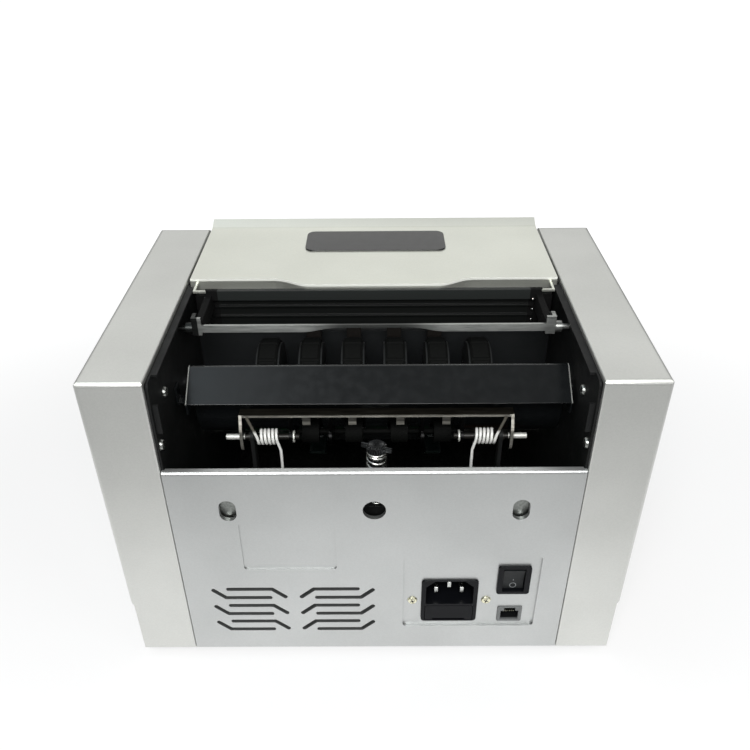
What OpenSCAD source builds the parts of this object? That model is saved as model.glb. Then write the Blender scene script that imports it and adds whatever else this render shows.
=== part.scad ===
// Banknote counting machine: a desk-top note counter with a hopper on top, a feed drum and
// guides in an open rear channel, and a stacker pocket at the front.
//
// Each piece is drawn in the machine's own terms, as [x, a, h], and housed() turns them into the
// part's frame: "x" is the distance to the operator's right of the middle, "a" the distance in
// front of the rear face, and "h" the height above the housing's bottom edge. The part's frame has
// its front at -Y, the operator's right at +X and the table at Z = 0.

/* [Housing] */
// Overall width over both side covers
body_w = 267; // [255:1:285]
// Height of the side covers, without the feet
body_h = 179; // [172:1:188]
// Depth from the rear face to the nose of the control panel
body_d = 240; // [232:1:252]
// Clear width between the two side covers
opening_w = 204.5; // [200:0.5:208]
// Wall of the moulded covers
cover_wall = 2.5; // [2:0.1:3]
// Height of the skirt below the raised field of each side cover
skirt_h = 38; // [25:1:50]
// How far the raised field stands out from the skirt
skirt_step = 2; // [1:0.5:3]
// Length of the sloping front, from the flat top to the nose
slope_l = 60; // [54:1:66]
// Height of the nose of the control panel
nose_h = 104; // [100:1:110]
// Height of the rubber feet
foot_h = 4; // [3:0.5:8]
// Radius of the rubber feet
foot_r = 8; // [6:0.5:10]
// Thickness of the steel frame plates
frame_t = 1.2; // [1:0.1:1.6]

/* [Rear panel] */
// Height of the rear panel
panel_h = 128.5; // [120:0.5:132]
// Wall of the rear panel
panel_t = 2.5; // [2:0.1:3]
// Depth of the flange along the top of the rear panel
panel_flange = 4.2; // [3.5:0.1:5]
// Width of one vent slot
vent_w = 2.4; // [2:0.1:2.8]
// Vertical pitch of the vent slots
vent_pitch = 12.7; // [11.5:0.1:14]
// Diameter of the round access hole in front of the gap screw
access_d = 11.6; // [8:0.1:14]

/* [Feed cover] */
// Thickness of the feed cover's plate
cover_t = 2.2; // [1.8:0.1:3]
// Distance from the rear face to the cover's rear edge, beside the scallop
cover_rear = 107; // [104:0.5:110]
// Depth of the scallop in the middle of the cover's rear edge
scallop = 7.5; // [4:0.5:8]
// How far the finger lip reaches past the flat top
lip_reach = 9; // [6:0.5:12]
// Height of the finger lip above the cover
lip_rise = 3.2; // [2:0.1:5]
// Radius of the hinge studs
stud_r = 1.5; // [1.2:0.1:1.8]

/* [Note path] */
// Radius of the feed drum over its rubber tyres
drum_r = 24; // [22:0.5:25]
// Pitch of the tyres along the drum
tyre_pitch = 22.5; // [20:0.5:24]
// Width of one tyre
tyre_w = 10.4; // [8:0.2:13]
// Radius of the feed drum's shaft
drum_shaft_r = 4; // [3:0.5:5]
// Radius of the pickup tyres in the hopper
pickup_r = 16.5; // [15.5:0.5:17]
// Radius of the outfeed roller
outfeed_r = 9; // [8:0.5:10]
// Radius of the stacker wheels at their finger tips
stacker_r = 38; // [34:0.5:39]
// Number of fingers on a stacker wheel
finger_count = 12; // [8:1:14]
// Radius of the pinch rollers
pinch_r = 6; // [5:0.5:6.5]
// Gap between the pinch rollers and the drum at rest
pinch_gap = 0.3; // [0.2:0.1:1]
// Gap between the separator pads and the drum
separator_gap = 0.6; // [0.4:0.1:1.2]

/* [Hopper and stacker] */
// Half width between the note guides at rest
guide_x = 88; // [80:1:90]
// Height of the note guides above the hopper bed
guide_h = 24; // [18:1:26]
// Thickness of the note guides' walls
guide_t = 2.5; // [2:0.1:3.5]
// Wall of the stacker pocket
pocket_t = 2; // [1.6:0.1:2.6]

/* [Keys and sockets] */
// Width of a key
key_w = 15; // [12:0.5:16]
// Depth of a key along the panel
key_d = 8; // [6:0.5:9]
// Height of a key above the panel
key_proud = 1.4; // [1:0.1:2]
// Width of the power inlet's body
inlet_w = 30.3; // [29:0.1:31]
// Height of the power inlet's body
inlet_h = 31.3; // [30:0.1:33]
// Distance between the inlet's screws
inlet_screw_pitch = 40; // [38:0.5:42]
// Width of the rocker switch's bezel
switch_w = 17.5; // [16:0.1:19]
// Height of the rocker switch's bezel
switch_h = 20.4; // [20:0.1:22]
// Width of the data jack
jack_w = 13.4; // [12.5:0.1:14.5]
// Height of the data jack
jack_h = 11.2; // [11:0.1:13]

/* [Hidden] */
$fn = 48;
wire_fn = 8; // sides of a spring's wire
turn_steps = 16; // steps in a turn of a spring
wire_r = 0.75; // radius of the springs' wire
coil_r = 3.6; // mean radius of a torsion spring
coil_turns = 5; // turns of a torsion spring
coil_pitch = 1.9; // pitch of its turns
coil_x = 50.2; // its inner end

// ---- Clearances and thicknesses that several pieces share
fit = 0.05; // radial clearance of a shaft or pin in its bore
gap = 0.3; // clearance between pieces that move past each other
seam = 0.1; // clearance of an insert in its cut-out
sheet = 1.5; // steel sheet of the brackets

// ---- Housing
rear_y = body_d / 2;
half_w = body_w / 2;
flat_top = body_d - slope_l;
inner_x = opening_w / 2;
frame_x = inner_x - fit;
frame_in = frame_x - frame_t;
base_h = 0.8;
base_top = base_h + frame_t;
side_outline = [[0, 0, 2], [body_d - 4, 0, 3], [body_d, nose_h, 6], [flat_top, body_h, 6],
    [0, body_h, 2.5]];

// ---- Hinge of the feed cover, seen from the side as [a, h]
hinge = [69.5, body_h - 10];
cover_under = body_h - cover_t;
rim_under = body_h - 6.5; // lower edge of the rim turned down along the cover's rear edge
cover_mid = cover_rear - scallop;
rim_w = 3.8; // width of the rims turned in from the frame
rim_top = cover_under - 0.5;
block_low = hinge.y - 14;
block_w = inner_x - 10.75; // half width over the separator block's arms
block_end = frame_x - rim_w - 0.9; // half width over its end plates
end_t = 3; // thickness of its end plates
rib_h = [hinge.y - 2.5, hinge.y - 8.4];

// ---- Note path, each axis seen from the side as [a, h]
bed_h = body_h - 33.5;
bed_t = 2;
bed_rear = 110;
drum = [76, body_h - 47];
tyre_x = [for (i = [0:5]) (i - 2.5) * tyre_pitch];
hub_r = drum_r - 5.5;
pickup = [135, bed_h + 1.2 - pickup_r];
pickup_slot = 2 * sqrt(pow(pickup_r, 2) - pow(bed_h - bed_t - pickup.y, 2)) + 3;
pickup_x = 24;
pickup_w = 12;
outfeed = drum + polar(drum_r + outfeed_r + 0.4, -50);
axle_r = 3.5;
stacker = [148, 72];
bed_apron = drum.y - 20; // lower edge of the sheet that hangs from the bed behind the drum
wheel_x = 38;
wheel_w = 10;
wheel_hub_r = 12;
pinch_roller = drum + polar(drum_r + pinch_r + pinch_gap, 210);
pinch_pivot = drum - [46, 4];
pinch_mid = -1.2; // the pinch gear sits a little off the middle
pin_r = 1.5;
pinch_x = [-35, -12, 12, 35];
pinch_w = 9;
lug_x = [22.5, 42.5, 67.1];
post_x = 61.8;
post_w = 2;
strip_h = pinch_pivot.y + 13.8; // top of the strip
pin_end = 76;
clip_x = lug_x[1] - 0.3;
guide_r = drum_r + 1.6;
guide_sheet = 1.2;
guide_ends = [-98.8, 93.9];

// ---- Drive
motor = [46, 50];
motor_r = 25;
motor_shaft_r = 3;
belt_x = inner_x + 6;
belt_w = 6;
belt_t = 1.2;
motor_pulley_r = 9;
feed_pulley_r = 18;
pickup_pulley_r = 12;
outfeed_pulley_r = 8;
stacker_pulley_r = 20;

// ---- Hopper guides
rail_r = 2.5;
rail = [max(flat_top - 15, pickup.x + pickup_r + rail_r + 1), bed_h - 7.5];
lug_w = 6;
guide_travel = 20;
guide_a = [122, max(flat_top - 2, rail.x + 9)];

// ---- Control panel
function slope_h(a) = body_h - (a - flat_top) * (body_h - nose_h) / (body_d - flat_top);
panel_drop = 1.4;
panel_skin = 2;
front_low = 95;
panel_back = flat_top + 25.5;
panel_nose = body_d - 1.6;
panel_outline = [[panel_back - 1, front_low, 1.5], [body_d - 4.5, front_low, 3],
    [panel_nose, slope_h(panel_nose) - panel_drop, 5],
    [panel_back, slope_h(panel_back) - panel_drop, 3]];
panel_from = [panel_back, slope_h(panel_back) - panel_drop];
panel_to = [panel_nose, slope_h(panel_nose) - panel_drop];
panel_tilt = atan2(panel_from.y - panel_to.y, panel_to.x - panel_from.x);
display_at = 15;
display_size = [62, 17];
key_at = 38;
key_names = ["key_mode", "key_add", "key_batch", "key_reset"];
key_pitch = 27;
key_rim = 1.2;

// ---- Rear panel's fittings, as [x, h]
inlet_at = [-40.2, 38.2];
switch_at = [-73.9, 54];
jack_at = [-73.8, 27.3];
vent_at = 44;
vent_h = 48.6;
recess_d = 1.5;
flange_d = 2;
socket_size = [25.6, 17.2];
socket_at = inlet_at + [0, 6.6];
drawer_size = [26, 11];
drawer_at = inlet_at + [0, -9.1];
drawer_body = [21, 8.6];
rocker_size = [11, 16.1];
rocker_pivot_a = 6.5;
obround_x = 72.7;
hole_h = 104.3;
bracket_a = 3.6; // place of the panel's brackets behind the oblong holes
gap_screw = [pinch_mid, 17];
bar_h = drum.y - 36;
gap_screw_r = 2.5;
gap_turns = 11; // turns of the spring on the gap screw
gap_coil_r = 4.7; // its mean radius
knob_r = 5.1;
knob_h = 2.2;
knob_wing = 8; // reach of the knob's wing
spring_from = bar_h + sheet;
spring_to = pinch_pivot.y + 1.3;

// ---- Helpers for outlines
function polar(r, t) = r * [cos(t), sin(t)];
function xy(p) = [p.x, p.y];
function unit(v) = v / norm(v);
function side(v) = [-v.y, v.x];
function arc(c, r, t0, t1, n = 6) = [for (i = [0:n]) c + polar(r, t0 + (t1 - t0) * i / n)];
// Arc that rounds the corner q between its neighbours p and s
function fillet(p, q, s, r, n) =
    let (u = unit(p - q), v = unit(s - q), half = acos(u * v) / 2,
         c = q + unit(u + v) * r / sin(half),
         from = q + u * r / tan(half) - c, to = q + v * r / tan(half) - c,
         t0 = atan2(from.y, from.x), turn = (atan2(to.y, to.x) - t0 + 540) % 360 - 180)
    arc(c, r, t0, t0 + turn, n);
// Outline whose corners [x, y, r] are rounded by r
function rounded(pts, n = 5) = [for (i = [0:len(pts) - 1])
    let (p = pts[(i + len(pts) - 1) % len(pts)], q = pts[i], s = pts[(i + 1) % len(pts)])
    each (len(q) > 2 && q[2] > 0 ? fillet(xy(p), xy(q), xy(s), q[2], n) : [xy(q)])];
// Anticlockwise outline drawn in by d, with its corner radii less by d
function inset(pts, d) = [for (i = [0:len(pts) - 1])
    let (p = xy(pts[(i + len(pts) - 1) % len(pts)]), q = pts[i],
         s = xy(pts[(i + 1) % len(pts)]),
         n1 = side(unit(xy(q) - p)), n2 = side(unit(s - xy(q))),
         c = xy(q) + (n1 + n2) * d / (1 + n1 * n2))
    [c.x, c.y, max((len(q) > 2 ? q[2] : 0) - d, 0)]];
// Outline of a strip of width t along a line, mitred at its bends
function mitre(pts, i) = let (last = len(pts) - 1,
    n1 = side(unit(pts[max(i, 1)] - pts[max(i, 1) - 1])),
    n2 = side(unit(pts[min(i, last - 1) + 1] - pts[min(i, last - 1)])))
    (n1 + n2) / (1 + n1 * n2);
function strip(pts, t) = concat([for (i = [0:len(pts) - 1]) pts[i] - t / 2 * mitre(pts, i)],
    [for (i = [len(pts) - 1:-1:0]) pts[i] + t / 2 * mitre(pts, i)]);
function box_outline(size, r) = [[-size.x / 2, -size.y / 2, r], [size.x / 2, -size.y / 2, r],
    [size.x / 2, size.y / 2, r], [-size.x / 2, size.y / 2, r]];

// ---- Wire bent along a path, with its section carried along without twist
function carry(n, t) = unit(n - t * (n * t));
function normals(tangents, first) = [for (i = 0, n = carry(first, tangents[0]); i < len(tangents);
    i = i + 1, n = i < len(tangents) ? carry(n, tangents[i]) : n) n];
module wire(path, r) {
    last = len(path) - 1;
    along = [for (i = [0:last]) unit(path[min(i + 1, last)] - path[max(i - 1, 0)])];
    out = normals(along, [0.3, 1, 0.2]);
    sides = wire_fn;
    points = [for (i = [0:last]) let (n = out[i], m = cross(along[i], n)) for (k = [0:sides - 1])
        path[i] + r * (cos(360 * k / sides) * n + sin(360 * k / sides) * m)];
    faces = [for (i = [0:last - 1], k = [0:sides - 1]) let (j = (k + 1) % sides)
        each [[i * sides + j, i * sides + k, (i + 1) * sides + k],
              [i * sides + j, (i + 1) * sides + k, (i + 1) * sides + j]]];
    caps = [[for (k = [0:sides - 1]) k], [for (k = [sides - 1:-1:0]) last * sides + k]];
    polyhedron(points, concat(faces, caps));
}

// ---- Helpers for solids, in [x, a, h]
module housed() { translate([0, rear_y, foot_h]) mirror([0, 1, 0]) children(); }
module both() {
    children();
    mirror([1, 0, 0]) children();
}
// A side outline [a, h] carried from x0 to x1
module across(x0, x1) { translate([x0, 0, 0]) rotate([90, 0, 90]) linear_extrude(x1 - x0) children(); }
// A rear outline [x, h] carried forward from a0 to a1
module forward(a0, a1) { translate([0, a1, 0]) rotate([90, 0, 0]) linear_extrude(a1 - a0) children(); }
// A plan outline [x, a] carried up from h0 to h1
module upward(h0, h1) { translate([0, 0, h0]) linear_extrude(h1 - h0) children(); }
module block(lo, hi) { translate(lo) cube(hi - lo); }
module rod(at, r, x0, x1) { translate([x0, at.x, at.y]) rotate([0, 90, 0]) cylinder(r = r, h = x1 - x0); }
module at2(p) { translate([p.x, p.y]) children(); }
module plate_outline(size, r) { polygon(rounded(box_outline(size, r))); }
// Sheet of thickness t along a bent line, mitred at its bends
module bent(pts, t) { polygon(strip(pts, t)); }
module obround(w, h) {
    square([w, h - w], center = true);
    for (s = [-1, 1]) translate([0, s * (h - w) / 2]) circle(d = w);
}
// Flanged pulley with its rim between x and x + belt_w
module pulley(at, r, x) {
    rod(at, r, x - seam, x + belt_w + seam);
    for (e = [x - seam - 1.2, x + belt_w + seam]) rod(at, r + 2.2, e, e + 1.2);
}
// Belt round the pulleys given as [axis, radius]
module belt(wheels, x) {
    across(x, x + belt_w) difference() {
        hull() for (w = wheels) at2(w[0]) circle(r = w[1] + gap + belt_t);
        hull() for (w = wheels) at2(w[0]) circle(r = w[1] + gap);
    }
}

// ---- Housing
// Moulded cover over one side: raised field over a narrower skirt, open to the frame and below
module side_cover() {
    depth = half_w - cover_wall;
    difference() {
        intersection() {
            across(inner_x, half_w) polygon(rounded(side_outline));
            forward(-1, body_d + 1) polygon(rounded([[inner_x, 0], [half_w - skirt_step, 0, 1],
                [half_w - skirt_step, skirt_h - skirt_step], [half_w, skirt_h],
                [half_w, body_h, 3], [inner_x, body_h, 1.2]]));
            upward(-1, body_h + 1) polygon(rounded([[inner_x, 0, 1], [half_w, 0, 3],
                [half_w, body_d, 4], [inner_x, body_d, 1]]));
        }
        across(inner_x - 1, depth - skirt_step) polygon(rounded(inset(side_outline, cover_wall)));
        intersection() {
            across(inner_x, depth) polygon(rounded(inset(side_outline, cover_wall)));
            block([inner_x, 0, skirt_h + 2], [depth, body_d, body_h]);
        }
        block([inner_x - 1, cover_wall, -1],
              [depth - skirt_step, body_d - 4 - cover_wall, cover_wall + 1]);
    }
}
module right_side_cover() color("#c9c7c2") housed() side_cover();
module left_side_cover() color("#c9c7c2") housed() mirror([1, 0, 0]) side_cover();

// One vent: a bent slot and its shorter partner, in a group that is mirrored about its centre
module vent_slot(pts) { polygon(rounded([for (p = strip(pts, vent_w)) [p.x, p.y, vent_w * 0.45]], 3)); }
module vent_pair(drop) {
    translate([0, -drop]) {
        vent_slot([[35.8, vent_h], [11.2, vent_h], [3.5, vent_h - 6.7]]);
        vent_slot([[43.6, vent_h], [36.4, vent_h - 6.5], [11.5, vent_h - 6.5]]);
    }
}
// Rear panel: sheet with a flange along its top, two shallow recesses, holes, vents and cut-outs
module rear_panel() color("#cfcdc8") housed() {
    w = inner_x - 0.35;
    difference() {
        union() {
            across(-w, w) polygon(rounded([[0, 1, 0.6], [panel_t, 1], [panel_t, panel_h],
                [0, panel_h, 2]]));
            across(0.4 - frame_in, frame_in - 0.4) polygon(rounded([[1, panel_h - 2.2],
                [panel_flange, panel_h - 2.2], [panel_flange, panel_h, 0.8], [1, panel_h]]));
        }
        forward(-1, panel_t + 1) {
            for (s = [-1, 1]) translate([s * obround_x, hole_h]) obround(8.5, 13);
            translate([0, hole_h]) circle(d = access_d);
            translate([vent_at, 0]) for (k = [0:2]) {
                vent_pair(k * vent_pitch);
                mirror([1, 0]) vent_pair(k * vent_pitch);
            }
            at2(inlet_at) plate_outline([inlet_w, inlet_h] + 2 * [seam, seam], 2);
            at2(switch_at) plate_outline([switch_w - 2, switch_h - 2] + 2 * [seam, seam], 1);
            at2(jack_at) plate_outline([jack_w, jack_h] + 2 * [seam, seam], 0.8);
            for (s = [-1, 1]) at2(inlet_at + [s * inlet_screw_pitch / 2, 0]) circle(r = 1.6);
        }
        forward(-1, 0.8) translate([44.2, 79.6]) plate_outline([48.5, 32], 1.5);
        forward(-1, recess_d) translate([-51.2, 45.4]) plate_outline([72.3, 53.2], 2);
    }
}

// Base: sheet with stiffening flanges turned up at its front and rear edges
module base_plate() color("#55585b") housed() {
    w = half_w - skirt_step - cover_wall - 0.5;
    front = body_d - 12;
    block([-w, 4, base_h], [w, front, base_top]);
    for (a = [4, front - frame_t]) block([-frame_in + 1, a, base_h], [frame_in - 1, a + frame_t, 12]);
}
module feet() color("#1c1c1c") housed() {
    for (s = [-1, 1], a = [24, body_d - 32]) translate([s * 110, a, -foot_h])
        rotate_extrude() polygon([[0, 0], [foot_r - 1, 0], [foot_r, foot_h - 1],
            [foot_r, foot_h + base_h], [0, foot_h + base_h]]);
}

// ---- Frame
// Side plate of the frame, with its shaft bores and a rim turned in along the top of the channel
module side_frame(shafts) {
    difference() {
        union() {
            across(frame_in, frame_x) polygon(rounded([[panel_t, base_top], [body_d - 9, base_top],
                [body_d - 7, nose_h - 5, 4], [flat_top - 5, body_h - 4, 6],
                [106, rim_top - 2, 3], [105, rim_top, 1], [4, rim_top, 3], [panel_t, rim_top - 11]]));
            across(frame_x - rim_w, frame_x) polygon([[12, rim_top - frame_t], [103, rim_top - frame_t],
                [103, rim_top], [12, rim_top]]);
            across(frame_x - rim_w, frame_x) polygon([[panel_t + 2, panel_h + 20],
                [panel_t + 2 + frame_t, panel_h + 20], [panel_t + 2 + frame_t, rim_top - 12],
                [panel_t + 2, rim_top - 12]]);
        }
        for (s = shafts) rod(s[0], s[1] + fit, frame_in - 1, frame_x + 1);
        rod(hinge, stud_r + fit, frame_in - 1, frame_x + 1);
    }
}
module right_frame() color("#1f2022") housed() {
    side_frame([[drum, drum_shaft_r], [pickup, axle_r], [outfeed, axle_r], [stacker, axle_r],
                [motor, motor_shaft_r + 2]]);
}
module left_frame() color("#1f2022") housed() mirror([1, 0, 0]) {
    side_frame([[drum, drum_shaft_r], [pickup, axle_r], [outfeed, axle_r], [stacker, axle_r]]);
}
module cross_rods() color("#8d9093") housed() {
    for (p = [[22.2, bar_h - 12], [104, outfeed.y - 26], [panel_back - 9.5, body_h - 55]])
        rod(p, 3, -frame_in, frame_in);
    rod(rail, rail_r, -frame_in, frame_in);
}
module frame_screws() color("#b9bbbd") housed() both() {
    for (p = [[6.2, panel_h + 12.5], [25.4, body_h - 20.7], [60, 60], [150, 40]])
        translate([frame_in, p.x, p.y]) rotate([0, -90, 0])
            rotate_extrude() polygon([[0, 0], [2.8, 0], [2.4, 1.4], [1.2, 1.8], [0, 1.8]]);
}
// Brackets that tie the rear panel to the frame, behind the oblong holes, with a slot each
module panel_brackets() color("#9fa3a5") housed() both() {
    difference() {
        block([obround_x - 9, bracket_a, hole_h - 10], [frame_in, bracket_a + frame_t, hole_h + 9]);
        forward(bracket_a - 1, bracket_a + 3) translate([obround_x, hole_h + 7]) obround(3, 7);
    }
    block([frame_in - frame_t, bracket_a, hole_h - 10], [frame_in, bracket_a + 7, hole_h + 9]);
}

// ---- Hopper
// Bed with slots for the pickup tyres and for the lugs of the note guides
module hopper_bed() color("#26282b") housed() {
    difference() {
        union() {
            block([-frame_in, bed_rear, bed_h - bed_t], [frame_in, panel_back - 0.5, bed_h]);
            for (s = [-1, 1]) block([s * (frame_in - 2) - 2, bed_rear, pickup.y + axle_r + 0.8],
                                    [s * (frame_in - 2) + 2, panel_back - 4, bed_h]);
            across(-frame_in, frame_in) bent([[bed_rear + 3, bed_h - bed_t / 2],
                [bed_rear - 0.4, bed_h - bed_t / 2], [bed_rear - 0.4, bed_apron]], sheet);
        }
        for (s = [-1, 1]) translate([s * pickup_x, pickup.x, 0])
            upward(bed_h - bed_t - 1, bed_h + 1) plate_outline([pickup_w + 3, pickup_slot], 2);
        for (s = [-1, 1]) block([min(s * 62, s * 97), rail.x - 5, bed_h - bed_t - 1],
                                [max(s * 62, s * 97), rail.x + 5, bed_h + 1]);
        rod(rail, rail_r, -frame_in - 1, frame_in + 1);
    }
}
// Note guide: wall, foot on the bed and a lug that runs on the guide rail under the bed
module hopper_guide() {
    foot = bed_h + gap;
    difference() {
        union() {
            across(guide_x, guide_x + guide_t) polygon(rounded([[guide_a.x, foot],
                [guide_a.y, foot], [guide_a.y, foot + guide_h, 8], [guide_a.x, foot + guide_h, 3]]));
            block([guide_x, guide_a.x + 8, foot], [guide_x + 9, guide_a.y - 8, foot + 1.5]);
            block([guide_x + 2, rail.x - 4, rail.y - 4.5], [guide_x + 2 + lug_w, rail.x + 4, foot + 1]);
        }
        rod(rail, rail_r + fit, guide_x, guide_x + lug_w + 4);
    }
}
module hopper_guide_right() color("#3a3c3f") housed() hopper_guide();
module hopper_guide_left() color("#3a3c3f") housed() mirror([1, 0, 0]) hopper_guide();

// ---- Control panel
// Puts its children on the panel's skin, s down from its top edge
module on_panel(x, s) {
    d = unit(panel_to - panel_from) * s;
    translate([x, panel_from.x + d.x, panel_from.y + d.y]) rotate([-panel_tilt, 0, 0]) children();
}
module control_panel() color("#2b2d30") housed() {
    w = frame_in - seam;
    difference() {
        across(-w, w) polygon(rounded(panel_outline));
        across(2 - w, w - 2) polygon(rounded(inset(panel_outline, panel_skin)));
        for (i = [0:3]) on_panel((i - 1.5) * key_pitch, key_at) upward(-panel_skin - 1, 1)
            plate_outline([key_w, key_d] + 2 * [gap, gap], 2);
        on_panel(0, display_at) upward(-panel_skin - 1, 1)
            plate_outline(display_size + 2 * [seam, seam], 2);
    }
}
module display_window() color("#3b1416") housed() on_panel(0, display_at)
    upward(-panel_skin, -0.3) plate_outline(display_size, 2);
module key(i) color("#6d7175") housed() on_panel((i - 1.5) * key_pitch, key_at) {
    upward(-panel_skin - 1, key_proud) plate_outline([key_w, key_d], 2);
    upward(-panel_skin - gap - 1.2, -panel_skin - gap)
        plate_outline([key_w, key_d] + 2 * [key_rim, key_rim], 2);
}

// ---- Note path
// Guide round the back of the drum: sloping face, rounded top edge and a curl under the drum
module guide_plate() color("#15171a") housed() {
    curl = [for (p = arc(drum, guide_r + guide_sheet / 2, 150, 290, 20)) p];
    low = drum + [-44, 14];
    high = drum + [-28.5, 24.2];
    difference() {
        across(guide_ends[0], guide_ends[1]) bent(concat([low, high],
            arc(drum + [-26, 22.9], 2.5, 125, 20, 5), [drum + [-22.8, 16]], curl), guide_sheet);
        for (x = pinch_x) block([pinch_mid + x - pinch_w / 2 - 1.5, drum.x - 36, drum.y - 24],
                                [pinch_mid + x + pinch_w / 2 + 1.5, drum.x - 16, drum.y - 5]);
    }
    for (s = [0, 1]) {
        in = abs(guide_ends[s]) - guide_sheet;
        mirror([1 - s, 0, 0]) {
            across(in, in + guide_sheet) polygon([low, low - [0, 6], low + [18, -6], low + [18, 9.5], high]);
            block([in, low.x + 10, low.y - 6], [frame_in, low.x + 16, low.y - 6 + guide_sheet]);
            block([frame_in - guide_sheet, low.x + 10, low.y - 6], [frame_in, low.x + 16, low.y + 4]);
        }
    }
}
// Stacker pocket: back plate with wheel slots, floor, front lip and apron in one bent sheet
module stacker_pocket() color("#26282b") housed() {
    difference() {
        across(-frame_in, frame_in) bent([[stacker.x + 18, stacker.y + 25],
            [stacker.x + 18, 27], [body_d - 14, 31], [body_d - 9, 36], [body_d - 9, 3]], pocket_t);
        for (s = [-1, 1]) block([s * wheel_x - wheel_w / 2 - 2, stacker.x + 12, 34],
            [s * wheel_x + wheel_w / 2 + 2, stacker.x + 22, stacker.y + 28]);
    }
}
module stacker_wheel(s) color("#2d6f63") housed() across(s * wheel_x - wheel_w / 2, s * wheel_x + wheel_w / 2)
    at2(stacker) difference() {
        union() {
            circle(r = wheel_hub_r + 2);
            for (k = [0:finger_count - 1]) rotate(k * 360 / finger_count)
                bent([for (i = [0:5]) polar(wheel_hub_r + (stacker_r - 1 - wheel_hub_r) * i / 5, -11 * i)], 1.6);
        }
        circle(r = axle_r);
    }
module stacker_shaft() color("#8d9093") housed() {
    rod(stacker, axle_r, -belt_x - belt_w - 3, frame_x + 1);
    mirror([1, 0, 0]) pulley(stacker, stacker_pulley_r, belt_x);
}

// ---- Drum
module feed_shaft() color("#a5a8aa") housed() {
    rod(drum, drum_shaft_r, -frame_x - 1, belt_x + belt_w + 3);
    pulley(drum, feed_pulley_r, belt_x);
    for (x = tyre_x) {
        rod(drum, hub_r, x - tyre_w / 2, x + tyre_w / 2);
        for (e = [x - tyre_w / 2 - 1, x + tyre_w / 2]) rod(drum, drum_r - 2.5, e, e + 1);
    }
}
// Rubber tyre with rounded shoulders and a shallow tread of cross grooves
module feed_tyre(i) color("#17181a") housed()
    translate([tyre_x[i - 1] - tyre_w / 2, drum.x, drum.y]) rotate([0, 90, 0]) difference() {
        rotate_extrude() polygon([[hub_r, 0], [drum_r - 1.2, 0], [drum_r, 1.2],
            [drum_r, tyre_w - 1.2], [drum_r - 1.2, tyre_w], [hub_r, tyre_w]]);
        for (t = [0:30:359]) rotate(t) translate([drum_r + 0.3, 0, -1]) cylinder(r = 1.1, h = tyre_w + 2);
    }
module pickup_shaft() color("#a5a8aa") housed() {
    rod(pickup, axle_r, -frame_x - 1, belt_x + belt_w + 3);
    pulley(pickup, pickup_pulley_r, belt_x);
    for (s = [-1, 1]) rod(pickup, pickup_r - 5, s * pickup_x - pickup_w / 2, s * pickup_x + pickup_w / 2);
}
module pickup_tyre(s) color("#17181a") housed()
    translate([s * pickup_x - pickup_w / 2, pickup.x, pickup.y]) rotate([0, 90, 0])
        rotate_extrude() polygon([[pickup_r - 5, 0], [pickup_r - 1, 0], [pickup_r, 1],
            [pickup_r, pickup_w - 1], [pickup_r - 1, pickup_w], [pickup_r - 5, pickup_w]]);
// Outfeed roller, pressed to the drum by its rubber sleeves
module outfeed_shaft() color("#3c3e41") housed() {
    rod(outfeed, axle_r, -belt_x - belt_w - 3, frame_x + 1);
    mirror([1, 0, 0]) pulley(outfeed, outfeed_pulley_r, belt_x);
    for (x = tyre_x) rod(outfeed, outfeed_r, x - tyre_w / 2, x + tyre_w / 2);
}
module drive_belt() color("#111214") housed()
    belt([[motor, motor_pulley_r], [drum, feed_pulley_r], [pickup, pickup_pulley_r]], belt_x);
module stacker_belt() color("#111214") housed() mirror([1, 0, 0])
    belt([[outfeed, outfeed_pulley_r], [stacker, stacker_pulley_r]], belt_x);
module main_motor() color("#6f7275") housed() difference() {
    union() {
        rod(motor, motor_r, 40, frame_in - 4);
        rod(motor, motor_r - 8, 34, 41);
        rod(motor, 9, frame_in - 5, frame_in);
    }
    rod(motor, motor_shaft_r + fit, 70, frame_in + 1);
}
module motor_pulley() color("#a5a8aa") housed() {
    rod(motor, motor_shaft_r, 70 + gap, belt_x + belt_w + 3);
    pulley(motor, motor_pulley_r, belt_x);
}

// ---- Pinch rollers at the back of the drum
module pinch_sides() translate([pinch_mid, 0, 0]) both() children();
// Bar across the frame with two posts for the pins and a tab for the gap screw
module pinch_bar() color("#26282b") housed() difference() {
    union() {
        block([-frame_in, 11, bar_h], [frame_in, 36, bar_h + sheet]);
        block([-frame_in, 11, bar_h - 4.5], [frame_in, 11 + sheet, bar_h + sheet]);
        pinch_sides() across(post_x, post_x + post_w) polygon(rounded([
            [pinch_pivot.x - 3.2, bar_h + 1], [pinch_pivot.x + 3.2, bar_h + 1],
            [pinch_pivot.x + 3.2, pinch_pivot.y + 3.5, 3], [pinch_pivot.x - 3.2, pinch_pivot.y + 3.5, 3]]));
    }
    pinch_sides() rod(pinch_pivot, pin_r, post_x - 1, post_x + post_w + 1);
    translate([gap_screw.x, gap_screw.y, bar_h - 1]) cylinder(r = gap_screw_r + fit, h = 10);
}
// Pivot pins with a snap ring at their inner ends
module pinch_pins() color("#c4c6c8") housed() pinch_sides() {
    rod(pinch_pivot, pin_r, clip_x - 3, pin_end);
    rod(pinch_pivot, pin_r + 1.6, clip_x - 0.8, clip_x);
    rod(pinch_pivot, pin_r + 1, post_x + post_w, post_x + post_w + 0.8);
}
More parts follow.
